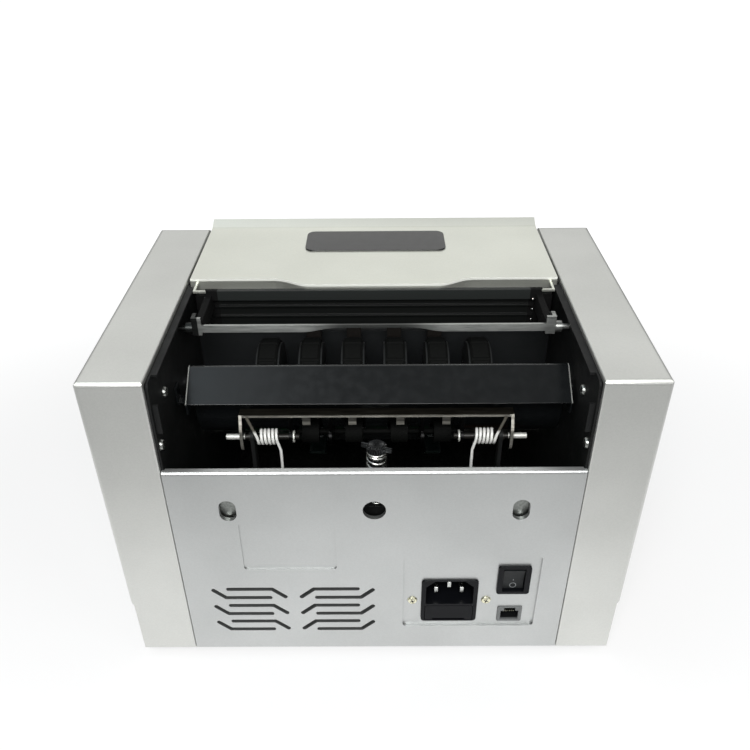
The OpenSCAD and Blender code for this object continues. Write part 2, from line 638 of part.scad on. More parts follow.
// Pinch plate: strip along the top, lugs on the pins and arms down to the rollers' axle
module pinch_plate() color("#8a8078") housed() difference() {
    union() {
        translate([pinch_mid, 0, 0]) {
            block([-lug_x[2] - sheet, pinch_pivot.x - 1, strip_h - sheet], [lug_x[2] + sheet, pinch_pivot.x + 5, strip_h]);
            for (x = pinch_x) block([x - 2, pinch_pivot.x - 1, strip_h - 6],
                                    [x + 2, pinch_pivot.x - 1 + sheet, strip_h - 1]);
        }
        pinch_sides() translate([0, pinch_pivot.x, pinch_pivot.y]) across(lug_x[2], lug_x[2] + sheet)
            polygon(rounded([[-4.5, -7, 4], [4.5, -7, 4], [5, 13.8, 2], [-1, 13.8], [-4.5, 6, 3]]));
        pinch_sides() for (x = [lug_x[0], lug_x[1]]) across(x, x + sheet) {
            at2(pinch_pivot) circle(r = 3.6);
            bent([pinch_pivot, pinch_roller], 5);
            translate([pinch_pivot.x - 1, pinch_pivot.y]) square([5, strip_h - pinch_pivot.y - 1]);
            at2(pinch_roller) circle(r = 3);
        }
    }
    pinch_sides() rod(pinch_pivot, pin_r + fit, lug_x[0] - 1, lug_x[2] + 3);
    pinch_sides() rod(pinch_roller, pin_r + fit, lug_x[0] - 1, lug_x[1] + 3);
}
// Torsion spring on each pin: leg down behind the panel, coil, and leg up behind the strip
module pinch_springs() color("#cfd1d2") housed() pinch_sides() {
    r = coil_r;
    end = coil_x + coil_turns * coil_pitch;
    top = [lug_x[2] - 2.5, -1 - wire_r - seam, strip_h - pinch_pivot.y - 1];
    translate([0, pinch_pivot.x, pinch_pivot.y]) wire(concat(
        [[coil_x - 1.6, -r, -24], [coil_x - 1.6, -r, -6]],
        [for (i = [0:turn_steps * coil_turns]) let (t = i / turn_steps)
            [coil_x + coil_pitch * t, -r * cos(360 * t), r * sin(360 * t)]],
        [[end + 0.4, -r, 2], [end + 1.5, -r + 0.4, 5], top]), wire_r);
}
module pinch_rollers() color("#1b1c1e") housed() translate([pinch_mid, 0, 0]) {
    rod(pinch_roller, pin_r, -lug_x[1] - sheet - 1, lug_x[1] + sheet + 1);
    for (x = pinch_x) rod(pinch_roller, pinch_r, x - pinch_w / 2, x + pinch_w / 2);
}

// ---- Gap screw
module gap_screw_knob() color("#232427") housed() translate([gap_screw.x, gap_screw.y, 0]) {
    translate([0, 0, bar_h - 6]) cylinder(r = gap_screw_r, h = spring_to - bar_h + 6);
    translate([0, 0, spring_to]) cylinder(r = knob_r, h = knob_h);
    translate([0, 0, spring_to + knob_h - 0.6]) cylinder(r = knob_r - 1.4, h = 1.8);
    rotate(20) block([-knob_wing, -0.6, spring_to], [knob_wing, 0.6, spring_to + knob_h]);
}
// Compression spring between the bar and the knob, its end turns closed
module gap_spring() color("#d6d8d9") housed() translate([gap_screw.x, gap_screw.y, 0]) {
    low = spring_from + wire_r;
    high = spring_to - wire_r - gap;
    wire([for (i = [0:turn_steps * gap_turns]) let (t = i / turn_steps)
        concat(polar(gap_coil_r, 360 * t),
               low + (high - low) * min(1, max(0, (t - 0.8) / (gap_turns - 1.6))))], wire_r);
}

// ---- Feed cover
// Distance of the cover's rear edge at x, with the scallop that reaches back in the middle
function ease(t) = t * t * (3 - 2 * t);
function cover_edge(x) = cover_rear - scallop * ease(min(1, max(0, (54 - abs(x)) / 18)));
cover_w = inner_x - 1.3;
function cover_plan(d) = concat([for (x = [-cover_w, -54, -50, -46, -43, -40, -36, 36, 40, 43, 46, 50,
    54, cover_w]) [x, cover_edge(x) + d]], [[cover_w, flat_top], [-cover_w, flat_top]]);
module top_cover() color("#d2d0cb") housed() {
    difference() {
        upward(rim_under, body_h) polygon(cover_plan(0));
        translate([0, 2, 0]) upward(rim_under - 1, cover_under) polygon([for (p = cover_plan(0))
            [p.x * 1.2, p.y]]);
    }
    across(-cover_w, cover_w) bent([[flat_top - 1, body_h - 1.1], [flat_top + 2, body_h - 0.8],
        [flat_top + lip_reach, body_h + lip_rise - 1.2]], 2.2);
    both() {
        edge = frame_x - rim_w - 0.6;
        block([cover_w * 0.9, 96.4, cover_under - 1.2], [edge, 97.6, cover_under]);
        block([edge - 1.2, 96.4, cover_under - 1.2], [edge, bed_rear, cover_under]);
    }
}
module cover_badge() color("#26282b") housed()
    translate([-1, flat_top - 21.5, 0]) upward(body_h, body_h + 0.8) plate_outline([83, 29], 5);
// Separator block: ribbed moulding with end plates and side arms back to the hinge
module separator_block() color("#1a1b1d") housed() {
    block([-block_w, cover_mid, block_low], [block_w, bed_rear, rim_under]);
    block([-block_w, cover_mid - 3, rim_under - 1.5], [block_w, cover_mid, cover_under]);
    block([-block_end, cover_mid, block_low + 3], [block_end, cover_mid + end_t, rim_under]);
    for (h = rib_h) block([-block_w + 4, cover_mid - 1.3, h - 0.6], [block_w - 4, cover_mid, h + 0.6]);
    both() across(block_w - 3.5, block_w) polygon([[hinge.x - 1.4, hinge.y - 4], [cover_mid + 1, hinge.y - 4],
        [cover_mid + 1, hinge.y + 5], [hinge.x - 1.4, hinge.y + 5]]);
}
module separator_pads() color("#2a2624") housed() difference() {
    for (x = [tyre_x[1], tyre_x[2], tyre_x[3], tyre_x[4]]) across(x - 4, x + 4)
        polygon([[cover_mid - 3.5, block_low], [cover_mid - 4, drum.y + 10], [cover_mid, drum.y + 4],
            [cover_mid + 5.5, drum.y + 14], [cover_mid + 5.5, block_low]]);
    rod(drum, drum_r + separator_gap, -80, 80);
}
// Bracket bar behind the separator block, with a square ear and a hinge stud at each end
module cover_bracket() color("#c4c6c8") housed() {
    reach = hinge.x - 3.2;
    end = block_w + 1.9;
    forward(reach, reach + sheet) polygon(concat([for (x = [-end, -36, -32, -28, -24, -20, 20, 24, 28, 32, 36, end])
        [x, hinge.y - 1 + 2.4 * ease(min(1, max(0, (36 - abs(x)) / 16)))]], [[end, hinge.y + 3], [-end, hinge.y + 3]]));
    both() {
        block([block_w - 3, reach, hinge.y - 2.6], [end, reach + sheet, hinge.y + 7.2]);
        across(block_w, end) polygon([[reach + 0.5, hinge.y - 2.6], [reach + 17, hinge.y - 2.6],
            [reach + 17, hinge.y + 1], [reach + 6, hinge.y + 7.2], [reach + 0.5, hinge.y + 7.2]]);
        rod(hinge, stud_r, block_w + 0.5, frame_x);
        rod(hinge, stud_r + 1.5, end - 0.4, frame_in - 4);
    }
}

// ---- Electrical pieces
module main_board() color("#2d5a3a") housed() {
    block([-40, 72, 9], [95, 142, 10.6]);
    for (x = [-34, 89], a = [78, 136]) translate([x, a, base_top]) cylinder(r = 3, h = 9 - base_top);
    for (x = [-20, 5, 30]) block([x, 88, 10], [x + 14, 116, 14]);
    for (x = [56, 72]) translate([x, 100, 10]) cylinder(r = 6, h = 11);
}
module transformer() color("#7a5a34") housed() {
    block([-96, 46, base_top], [-50, 92, 14]);
    block([-92, 54, 13], [-54, 84, 46]);
    block([-85, 50, 19], [-61, 88, 40]);
}
module inlet_body() color("#161719") housed() difference() {
    union() {
        forward(0.3, panel_t + 1) at2(inlet_at) plate_outline([inlet_w, inlet_h], 2);
        forward(panel_t, panel_t + flange_d) at2(inlet_at) plate_outline([inlet_screw_pitch + 9, 26], 6);
        forward(panel_t, 27) at2(inlet_at) plate_outline([inlet_w - 1, inlet_h - 1], 1.5);
    }
    forward(-1, 18) at2(socket_at) polygon([for (p = [[-1, -1], [1, -1], [1, 0.5], [0.62, 1], [-0.62, 1],
        [-1, 0.5]]) [p.x * socket_size.x / 2, p.y * socket_size.y / 2]]);
    forward(-1, 2.4) at2(drawer_at) plate_outline(drawer_size + 2 * [gap, gap], 1);
    forward(-1, 24) at2(drawer_at) plate_outline(drawer_body + 2 * [gap, gap], 0.5);
    for (s = [-1, 1]) translate([inlet_at.x + s * inlet_screw_pitch / 2, 20, inlet_at.y])
        rotate([90, 0, 0]) cylinder(r = 1.5, h = 20);
}
module inlet_pins() color("#c9cbcc") housed()
    for (p = [[-7, -2.6], [0, 1.4], [7, -2.6]]) forward(5, 18) at2(socket_at + p) square([2, 4], center = true);
module inlet_screws() color("#c9a24a") housed()
    for (s = [-1, 1]) translate([inlet_at.x + s * inlet_screw_pitch / 2, recess_d, inlet_at.y]) rotate([90, 0, 0]) {
        rotate_extrude() polygon([[0, 0], [2.7, 0], [2.3, 0.8], [1.2, 1.2], [0, 1.2]]);
        translate([0, 0, -6]) cylinder(r = 1.5, h = 6);
    }
module fuse_drawer() color("#1b1c1e") housed() difference() {
    union() {
        forward(0.3, 2) at2(drawer_at) plate_outline(drawer_size, 1);
        forward(1.5, 22) at2(drawer_at) plate_outline(drawer_body, 0.5);
    }
    forward(5, 19) at2(drawer_at) square([drawer_body.x - 3, 5.4], center = true);
    forward(-1, 1.1) at2(drawer_at - [0, drawer_size.y / 2]) square([drawer_size.x - 8, 2.4], center = true);
}
module switch_body() color("#161719") housed() difference() {
    union() {
        forward(0.2, recess_d) at2(switch_at) plate_outline([switch_w, switch_h], 1.5);
        forward(recess_d, 19) at2(switch_at) plate_outline([switch_w - 2, switch_h - 2], 1);
    }
    forward(-1, 14) at2(switch_at) square(rocker_size + 2 * [gap, gap], center = true);
    rod([rocker_pivot_a, switch_at.y], 1.2 + fit, switch_at.x - rocker_size.x / 2 - 1.2,
        switch_at.x + rocker_size.x / 2 + 1.2);
}
module switch_rocker() color("#101113") housed() {
    c = [rocker_pivot_a, switch_at.y];
    h = rocker_size.y / 2 - 0.7;
    translate([0, c.x, c.y]) rotate([6, 0, 0]) across(switch_at.x - rocker_size.x / 2,
        switch_at.x + rocker_size.x / 2) polygon([[-5, -h], [-4.2, 0], [-5, h], [1.5, h - 1], [3, 2], [3, -2],
        [1.5, 1 - h]]);
    rod(c, 1.2, switch_at.x - rocker_size.x / 2 - 0.9, switch_at.x + rocker_size.x / 2 + 0.9);
}
module data_jack() color("#9a9da0") housed() difference() {
    forward(0.8, 17) at2(jack_at) plate_outline([jack_w, jack_h], 0.8);
    forward(-1, 13) at2(jack_at) {
        translate([0, -0.8]) square([9.8, 6.8], center = true);
        translate([0, 3.4]) square([6.2, 3], center = true);
    }
}

left_side_cover();
right_side_cover();
rear_panel();
base_plate();
feet();
left_frame();
right_frame();
cross_rods();
frame_screws();
panel_brackets();
hopper_bed();
hopper_guide_left();
hopper_guide_right();
control_panel();
display_window();
for (i = [0:3]) key(i);
guide_plate();
stacker_pocket();
pinch_bar();
pinch_pins();
pinch_plate();
pinch_springs();
pinch_rollers();
gap_screw_knob();
gap_spring();
top_cover();
cover_badge();
separator_block();
separator_pads();
cover_bracket();
feed_shaft();
for (i = [1:6]) feed_tyre(i);
pickup_shaft();
pickup_tyre(-1);  // pickup_tyre_left
pickup_tyre(1);  // pickup_tyre_right
outfeed_shaft();
stacker_shaft();
stacker_wheel(-1);  // stacker_wheel_left
stacker_wheel(1);  // stacker_wheel_right
main_motor();
motor_pulley();
drive_belt();
stacker_belt();
main_board();
transformer();
inlet_body();
inlet_pins();
inlet_screws();
fuse_drawer();
switch_body();
switch_rocker();
data_jack();
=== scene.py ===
"""Banknote counting machine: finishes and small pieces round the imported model.

Lengths are metres, as in the model, and MM turns millimetres to them. The front is at -Y and the
sockets at +Y. "fore" is a distance in front of the rear face, and "high" a height above the
housing's lower edge.
"""
from math import pi, radians

import bmesh
import bpy
from mathutils import Matrix, Vector
from mathutils.bvhtree import BVHTree


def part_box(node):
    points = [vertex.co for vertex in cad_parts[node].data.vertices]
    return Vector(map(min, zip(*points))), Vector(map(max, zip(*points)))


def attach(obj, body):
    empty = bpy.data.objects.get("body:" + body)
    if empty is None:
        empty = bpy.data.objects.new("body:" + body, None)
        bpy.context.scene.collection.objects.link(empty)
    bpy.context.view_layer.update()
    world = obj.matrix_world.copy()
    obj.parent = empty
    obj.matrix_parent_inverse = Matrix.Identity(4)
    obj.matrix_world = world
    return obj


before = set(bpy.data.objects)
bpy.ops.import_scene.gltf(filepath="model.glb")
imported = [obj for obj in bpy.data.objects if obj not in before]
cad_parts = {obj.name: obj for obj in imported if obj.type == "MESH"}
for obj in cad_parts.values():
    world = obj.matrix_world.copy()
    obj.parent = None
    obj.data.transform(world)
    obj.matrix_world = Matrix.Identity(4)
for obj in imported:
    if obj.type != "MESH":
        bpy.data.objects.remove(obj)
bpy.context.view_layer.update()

MM = 0.001
UP = Vector((0, 0, 1))
RIGHT = Vector((1, 0, 0))
BACK = Vector((0, 1, 0))

# ---------------------------------------------------------------- the frame's own places
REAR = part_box("rear_panel")[1][1]
FLOOR_OF_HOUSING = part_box("right_side_cover")[0][2]


def place(x, fore, high):
    """Point x mm to the operator's right, fore mm in front of the rear face, high mm up."""
    return Vector((x * MM, REAR - fore * MM, FLOOR_OF_HOUSING + high * MM))


def middle(node):
    """Middle of a node's box."""
    low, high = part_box(node)
    return (Vector(low) + Vector(high)) / 2


def box_mm(node):
    """Low and high corner of a node's box, in millimetres."""
    return [Vector(corner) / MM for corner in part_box(node)]


# ---------------------------------------------------------------- camera
# Fitted to the housing's edges in the photograph; angles are in degrees
CAMERA_AT = (-2.3, -295, 366.3)  # as place() takes it
CAMERA_TURN = 180.32
CAMERA_DIP = 35.74  # below the level
CAMERA_ROLL = -0.47
LENS = 38.1  # focal length in mm, on a sensor 36 mm wide
LENS_SHIFT = 0.072


def set_camera():
    """Camera behind the machine, looking down at it through a lens of normal width."""
    data = bpy.data.cameras.new("camera")
    data.sensor_width = 36
    data.lens = LENS
    data.shift_y = LENS_SHIFT
    data.clip_start = 0.01
    camera = bpy.data.objects.new("camera", data)
    bpy.context.collection.objects.link(camera)
    camera.matrix_world = (Matrix.Translation(place(*CAMERA_AT))
                           @ Matrix.Rotation(radians(CAMERA_TURN), 4, "Z")
                           @ Matrix.Rotation(radians(90 - CAMERA_DIP), 4, "X")
                           @ Matrix.Rotation(radians(CAMERA_ROLL), 4, "Z"))
    bpy.context.scene.camera = camera


# ---------------------------------------------------------------- colours and shader nodes
def srgb(code, gain=1.0):
    """Linear colour of an sRGB hex code, times a gain."""
    parts = [int(code[i:i + 2], 16) / 255 for i in (1, 3, 5)]
    linear = [p / 12.92 if p <= 0.04045 else ((p + 0.055) / 1.055) ** 2.4 for p in parts]
    return tuple(min(1, p * gain) for p in linear) + (1,)


def add(tree, kind, inputs=None, **settings):
    """Add a shader node with its settings; an input is a value or another node's output."""
    node = tree.nodes.new("ShaderNode" + kind)
    for name, value in settings.items():
        setattr(node, name, value)
    for name, value in (inputs or {}).items():
        if isinstance(value, bpy.types.NodeSocket):
            tree.links.new(value, node.inputs[name])
        else:
            node.inputs[name].default_value = value
    return node


def start(name):
    """New material, with its tree, its shader and its object coordinates in millimetres."""
    material = bpy.data.materials.new(name)
    material.use_nodes = True
    tree = material.node_tree
    shader = tree.nodes["Principled BSDF"]
    place_of = add(tree, "TexCoord").outputs["Object"]
    millimetres = add(tree, "VectorMath", {0: place_of, "Scale": 1 / MM}, operation="SCALE")
    return material, tree, shader, millimetres.outputs[0]


def maths(tree, operation, *values):
    """Result of one operation on numbers."""
    return add(tree, "Math", dict(enumerate(values)), operation=operation).outputs[0]


def vectors(tree, operation, *values):
    """Vector that one operation makes of others."""
    return add(tree, "VectorMath", dict(enumerate(values)), operation=operation).outputs[0]


def length(tree, vector):
    """Length of a vector."""
    return add(tree, "VectorMath", {0: vector}, operation="LENGTH").outputs["Value"]


def axes_of(tree, vector):
    """X, Y and Z of a vector, by name."""
    return add(tree, "SeparateXYZ", {"Vector": vector}).outputs


def product(tree, *values):
    """All the values multiplied together."""
    whole = values[0]
    for value in values[1:]:
        whole = maths(tree, "MULTIPLY", whole, value)
    return whole


def distance(tree, value, other):
    """How far a value is from another, either way."""
    return maths(tree, "ABSOLUTE", maths(tree, "SUBTRACT", value, other))


def between(tree, value, low, high, out_low, out_high, kind="SMOOTHSTEP"):
    """Step of a value from out_low at low to out_high at high, smooth unless it is linear."""
    node = add(tree, "MapRange", {"Value": value, "From Min": low, "From Max": high,
                                  "To Min": out_low, "To Max": out_high}, interpolation_type=kind)
    return node.outputs["Result"]


def ramp(tree, fac, dark, light, low=0.3, high=0.7):
    """Colour that goes from dark, up to low, to light, from high on."""
    node = add(tree, "ValToRGB", {"Fac": fac})
    for element, at, colour in zip(node.color_ramp.elements, (low, high), (dark, light)):
        element.position, element.color = at, colour
    return node.outputs["Color"]


def blend(tree, fac, one, other):
    """Colour that turns from one to the other as fac goes from 0 to 1."""
    return add(tree, "Mix", {0: fac, 6: one, 7: other}, data_type="RGBA").outputs[2]


def noise(tree, at, size, detail=2.0):
    """Cloudy value with features of size mm."""
    return add(tree, "TexNoise", {"Vector": at, "Scale": 1 / size, "Detail": detail}).outputs["Fac"]


def facing_rear(tree):
    """1 on faces that look to the rear, 0 on the others."""
    normal = axes_of(tree, add(tree, "NewGeometry").outputs["True Normal"])
    return between(tree, normal["Y"], 0.6, 0.8, 0, 1)


def finish(shader, **values):
    """Set the shader's own sockets."""
    for name, value in values.items():
        shader.inputs[name.replace("_", " ")].default_value = value


def join(tree, shader, **values):
    """Join other nodes' outputs to the shader's sockets."""
    for name, value in values.items():
        tree.links.new(value, shader.inputs[name.replace("_", " ")])


def relief(tree, shader, height, depth):
    """Bump of depth mm from a height value, joined to the shader."""
    bump = add(tree, "Bump", {"Height": height, "Distance": depth * MM, "Strength": 1.0})
    join(tree, shader, Normal=bump.outputs["Normal"])


def scuffed(tree, shader, at, size, smooth, rough):
    """Roughness that wanders between two values over patches of size mm."""
    join(tree, shader, Roughness=between(tree, noise(tree, at, size, 4.0), 0.3, 0.7, smooth, rough))


# ---------------------------------------------------------------- places that the finishes follow
# All in millimetres
TOP_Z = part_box("right_side_cover")[1][2] / MM
BELOW_ALL = 0  # a height under every face of the machine
ABOVE_ALL = 999  # and one over them
FLAKE = 0.3  # distance between the lacquer's flakes
GUIDE_ENDS = (-98.5, 93.6)  # just inside the ends of the guide plate's broad face, where pale lines are painted as highlights
GUIDE_BAND = 12.6  # that face's lower edge, below the plate's top
STRIP_T = 1.5  # thickness of the pinch plate's strip
LUG_T = 2  # thickness of the lugs at its ends
TABS_MIDDLE = 23.5  # the tabs stand 12 mm and 35 mm from the plate's middle
TABS_APART = 23
TAB_HALF = 2  # half a tab's width
PIN_SHADE_HALF = 66.5  # half length of the middle of the two pins, painted dark as shade
PIN_R = 1.6  # the clips are what lies outside this radius
CLIPS_WITHIN = 45  # and nearer to the middle than this
STUD_REACH = 12  # length of the bracket's stud outside its ear, which is painted dark as shade
END_PLATES_FROM = 84.6  # the separator block's end plates lie farther from its middle than this
TOP_BAND_H = 7.5  # height of the lighter band along the block's top
LEGS_DARKER_FROM = 1.2  # the springs' legs are darker from this height above the pins
JACK_FACE_D = 1.4  # depth of the data jack's grey face
JACK_SHADE_FROM = 2.6  # from this depth the cavity is painted near black as shade
BOARD_TOP = 8.75  # height on the main board at which its black parts start


# ---------------------------------------------------------------- materials
def silver_lacquer(name, dark, light, rough, edge=ABOVE_ALL, ledge=BELOW_ALL):
    """Aluminium-flake lacquer sprayed on moulded ABS.

    The flakes give a fine sparkle, drawn at twice their real distance so that they show; the
    spray leaves patches a hand wide and a faint orange peel. From the height edge to the top the
    rear faces are painted near white and less metallic, a painted highlight along the fold, and
    the lip above the top takes part of it. Below the height ledge the faces that look up, the
    sides of recesses, are painted grey as shade.
    """
    material, tree, shader, at = start(name)
    flakes = add(tree, "TexVoronoi", {"Vector": at, "Scale": 1 / (2 * FLAKE)}).outputs["Color"]
    both = maths(tree, "MULTIPLY_ADD", axes_of(tree, flakes)["X"], 0.18, noise(tree, at, 55))
    flake = ramp(tree, both, srgb(dark), srgb(light), 0.3, 0.85)
    height = axes_of(tree, at)["Z"]
    normal = axes_of(tree, add(tree, "NewGeometry").outputs["True Normal"])
    # Painted highlight: near the top edge the rear faces turn near white and less metallic, the lip
    # above the top partly
    painted_highlight = product(tree, between(tree, height, edge, edge + 0.3, 0, 1),
                     between(tree, height, TOP_Z + 0.1, TOP_Z + 0.3, 1, 0.4),
                     between(tree, normal["Y"], 0.15, 0.3, 0, 1))
    # Painted shade: below the ledge height the faces that look up turn grey
    grey = product(tree, between(tree, height, ledge - 0.3, ledge, 1, 0),
                   between(tree, normal["Z"], 0.15, 0.3, 0, 1))
    sprayed = blend(tree, grey, flake, srgb("#8f9190"))
    join(tree, shader, Base_Color=blend(tree, painted_highlight, sprayed, srgb("#f6f8f0")),
         Metallic=between(tree, painted_highlight, 0, 1, 0.8, 0.1))
    finish(shader, Roughness=rough, Coat_Weight=0.15, Coat_Roughness=0.25)
    relief(tree, shader, noise(tree, at, 0.9), 0.01)
    return material


def powder_coat(name="black powder coat"):
    """Polyester powder baked on sheet steel: near black and satin, with orange peel 0.8 mm wide."""
    material, tree, shader, at = start(name)
    peel = noise(tree, at, 0.8, 3.0)
    join(tree, shader, Base_Color=ramp(tree, peel, srgb("#131414"), srgb("#1a1b1b")))
    scuffed(tree, shader, at, 14, 0.5, 0.62)
    finish(shader, IOR=1.5, Specular_IOR_Level=0.22)
    relief(tree, shader, peel, 0.02)
    return material


def polished_plastic(name, colour, rough=0.16, gloss=0.5):
    """Black ABS from a polished mould: deep colour, and a gloss that waves over 9 mm."""
    material, tree, shader, at = start(name)
    wave = noise(tree, at, 9)
    join(tree, shader, Base_Color=ramp(tree, wave, srgb(colour), srgb(colour, 1.3), 0.2, 0.9))
    scuffed(tree, shader, at, 5, rough, rough + 0.08)
    finish(shader, IOR=1.54, Specular_IOR_Level=gloss)
    relief(tree, shader, wave, 0.03)
    return material


def grained_plastic(name, colour, rough=0.5, gloss=0.5):
    """ABS from a spark-eroded mould: even colour with a matt grain, 0.5 mm across."""
    material, tree, shader, at = start(name)
    pits = noise(tree, at, 0.5, 3.0)
    join(tree, shader, Base_Color=ramp(tree, pits, srgb(colour, 0.78), srgb(colour, 1.1)))
    scuffed(tree, shader, at, 12, rough - 0.05, rough + 0.07)
    finish(shader, IOR=1.53, Specular_IOR_Level=gloss)
    relief(tree, shader, pits, 0.02)
    return material


def plated_steel(name, dark, light, rough):
    """Zinc plate on drawn steel: cool grey metal with fine marks that roughen it in spots."""
    material, tree, shader, at = start(name)
    marks = noise(tree, at, 1.4, 5.0)
    join(tree, shader, Base_Color=ramp(tree, marks, srgb(dark), srgb(light)),
         Roughness=between(tree, marks, 0.3, 0.7, rough - 0.06, rough + 0.08))
    finish(shader, Metallic=1.0)
    return material


def rubber(name, colour, bloom=1.7, rough=0.62):
    """Moulded nitrile rubber: matt black with a dusty bloom in spots 1.5 mm wide."""
    material, tree, shader, at = start(name)
    dust = noise(tree, at, 1.5, 4.0)
    join(tree, shader, Base_Color=ramp(tree, dust, srgb(colour), srgb(colour, bloom), 0.35, 0.8))
    finish(shader, Roughness=rough, IOR=1.52, Specular_IOR_Level=0.1)
    relief(tree, shader, dust, 0.05)
    return material


def turned(name, node, radius, roll, rough):
    """Ground steel shaft within a radius of the node's axis, and moulded rolls outside it."""
    material, tree, shader, at = start(name)
    centre = middle(node) / MM
    off = vectors(tree, "SUBTRACT", at, (0, centre.y, centre.z))
    out = length(tree, vectors(tree, "MULTIPLY", off, (0, 1, 1)))
    outside = between(tree, out, radius, radius + 0.05, 0, 1, "LINEAR")
    grain = noise(tree, at, 0.6, 3.0)
    rolls = ramp(tree, grain, srgb(roll, 0.8), srgb(roll, 1.15))
    steel = ramp(tree, grain, srgb("#8d9092"), srgb("#b4b6b8"))
    join(tree, shader, Base_Color=blend(tree, outside, steel, rolls),
         Metallic=between(tree, outside, 0, 1, 1, 0, "LINEAR"),
         Roughness=between(tree, outside, 0, 1, 0.28, rough, "LINEAR"))
    finish(shader, IOR=1.53, Specular_IOR_Level=0.3)
    return material


def rolled_steel(name="oiled rolled steel"):
    """Steel strip, brown with oil on its flat faces; its cut rear edges light steel with a painted
    highlight, strongest low down; below the strip its arms painted near black as shade.
    """
    material, tree, shader, at = start(name)
    low, high = box_mm("pinch_plate")
    middle_x = (low.x + high.x) / 2
    lugs_from = high.x - middle_x - LUG_T
    strip_low = high.z - STRIP_T
    marks = noise(tree, vectors(tree, "MULTIPLY", at, (0.1, 1, 1)), 1.2, 5.0)
    axes = axes_of(tree, at)
    aside = distance(tree, axes["X"], middle_x)
    rear = facing_rear(tree)
    flat = between(tree, axes["Z"], strip_low - 0.1, strip_low, 0, 1)
    # Cut rear edges of the strip, tabs and lugs: light steel with a painted highlight, strongest low
    # down
    strip = product(tree, rear, flat, between(tree, axes["Z"], high.z - 0.6, high.z - 0.4, 1, 0.25))
    from_tab = distance(tree, distance(tree, aside, TABS_MIDDLE), TABS_APART / 2)
    tab = product(tree, rear, between(tree, from_tab, TAB_HALF + 0.1, TAB_HALF + 0.3, 1, 0),
                  between(tree, axes["Z"], strip_low - 3, strip_low - 2, 0.9, 0.25))
    lug = product(tree, rear, between(tree, aside, lugs_from - 0.2, lugs_from, 0, 1))
    cut_edge_highlight = maths(tree, "MAXIMUM", maths(tree, "MAXIMUM", strip, tab), lug)
    oiled = ramp(tree, marks, srgb("#2b2924"), srgb("#45423a"))
    bright = ramp(tree, marks, srgb("#a9a69c"), srgb("#d5d2c8"))
    # Painted shade: below the strip the arms are near black
    dark = blend(tree, flat, srgb("#0e0e0e"), oiled)
    join(tree, shader, Base_Color=blend(tree, cut_edge_highlight, dark, bright),
         Roughness=between(tree, marks, 0.3, 0.7, 0.3, 0.42))
    finish(shader, Metallic=0.85)
    return material


def pin_steel(name="zinc-plated pins"):
    """Satin zinc on the pins' outer ends and on the clips; elsewhere the pins are painted near black as
    shade.
    """
    material, tree, shader, at = start(name)
    low, high = box_mm("pinch_pins")
    centre = (low + high) / 2
    axes = axes_of(tree, at)
    aside = distance(tree, axes["X"], centre.x)
    off = add(tree, "CombineXYZ", {"Y": distance(tree, axes["Y"], centre.y),
                                   "Z": distance(tree, axes["Z"], centre.z)}).outputs[0]
    outer = between(tree, aside, PIN_SHADE_HALF, PIN_SHADE_HALF + 0.3, 0, 1)
    clip = product(tree, between(tree, length(tree, off), PIN_R, PIN_R + 0.2, 0, 1),
                   between(tree, aside, CLIPS_WITHIN, CLIPS_WITHIN + 1, 1, 0))
    unshaded = maths(tree, "MAXIMUM", outer, clip)
    zinc = ramp(tree, noise(tree, at, 0.9, 4.0), srgb("#c3c4be"), srgb("#e0e1da"))
    # Painted shade: the pins are near black except at their outer ends; the clips stay zinc
    join(tree, shader, Base_Color=blend(tree, unshaded, srgb("#23221f"), zinc))
    scuffed(tree, shader, at, 2, 0.36, 0.48)
    finish(shader, Metallic=0.4)
    return material


def bracket_steel(name="zinc plate of the bracket"):
    """Zinc plate with marks along the bar, darker in its middle; the stud at the operator's right is
    painted dark as shade.
    """
    material, tree, shader, at = start(name)
    marks = noise(tree, vectors(tree, "MULTIPLY", at, (0.12, 1, 1)), 1.4, 5.0)
    low, high = box_mm("cover_bracket")
    across = axes_of(tree, at)["X"]
    stud_from = high.x - STUD_REACH
    # Darker towards the middle of the bar, and painted shade on the stud
    clear = between(tree, distance(tree, across, (low.x + high.x) / 2), 14, 40, 0.1, 1)
    stud = between(tree, across, stud_from, stud_from + 0.3, 1, 0)
    zinc = ramp(tree, marks, srgb("#8e918e"), srgb("#b9bbb8"))
    join(tree, shader, Base_Color=blend(tree, product(tree, clear, stud), srgb("#303231"), zinc),
         Roughness=between(tree, marks, 0.3, 0.7, 0.28, 0.42))
    finish(shader, Metallic=0.9)
    return material


def block_plastic(name="black ABS of the separator"):
    """Black ABS with a fine grain, lighter in a band along the top, darker and matt on the end plates.
    """
    material, tree, shader, at = start(name)
    pits = noise(tree, at, 0.5, 3.0)
    low, high = box_mm("separator_block")
    axes = axes_of(tree, at)
    aside = distance(tree, axes["X"], (low.x + high.x) / 2)
    plates = between(tree, aside, END_PLATES_FROM, END_PLATES_FROM + 0.3, 0, 1)
    top_band = between(tree, axes["Z"], high.z - TOP_BAND_H, high.z - TOP_BAND_H + 0.3, 0, 1)
    black = ramp(tree, pits, srgb("#0c0e0d"), srgb("#121413"))
    block = blend(tree, top_band, black, srgb("#242726"))
    join(tree, shader, Base_Color=blend(tree, plates, block, srgb("#050505")),
         Roughness=between(tree, plates, 0, 1, 0.46, 0.9))
    finish(shader, Specular_IOR_Level=0.22)
    relief(tree, shader, pits, 0.03)
    return material


def spring_wire(name="nickel-plated spring wire"):
    """Music wire under satin nickel: bright and soft, and darker on the legs above a height over the
    pins.
    """
    material, tree, shader, at = start(name)
    _, high = box_mm("pinch_pins")
    darker_from = high.z + LEGS_DARKER_FROM
    # The legs turn darker above that height
    worn = between(tree, axes_of(tree, at)["Z"], darker_from, darker_from + 2, 0, 1)
    nickel = ramp(tree, noise(tree, at, 0.8, 4.0), srgb("#e6e7e2"), srgb("#f7f7f3"))
    join(tree, shader, Base_Color=blend(tree, worn, nickel, srgb("#55524a")))
    scuffed(tree, shader, at, 3, 0.26, 0.36)
    finish(shader, Metallic=0.1)
    return material


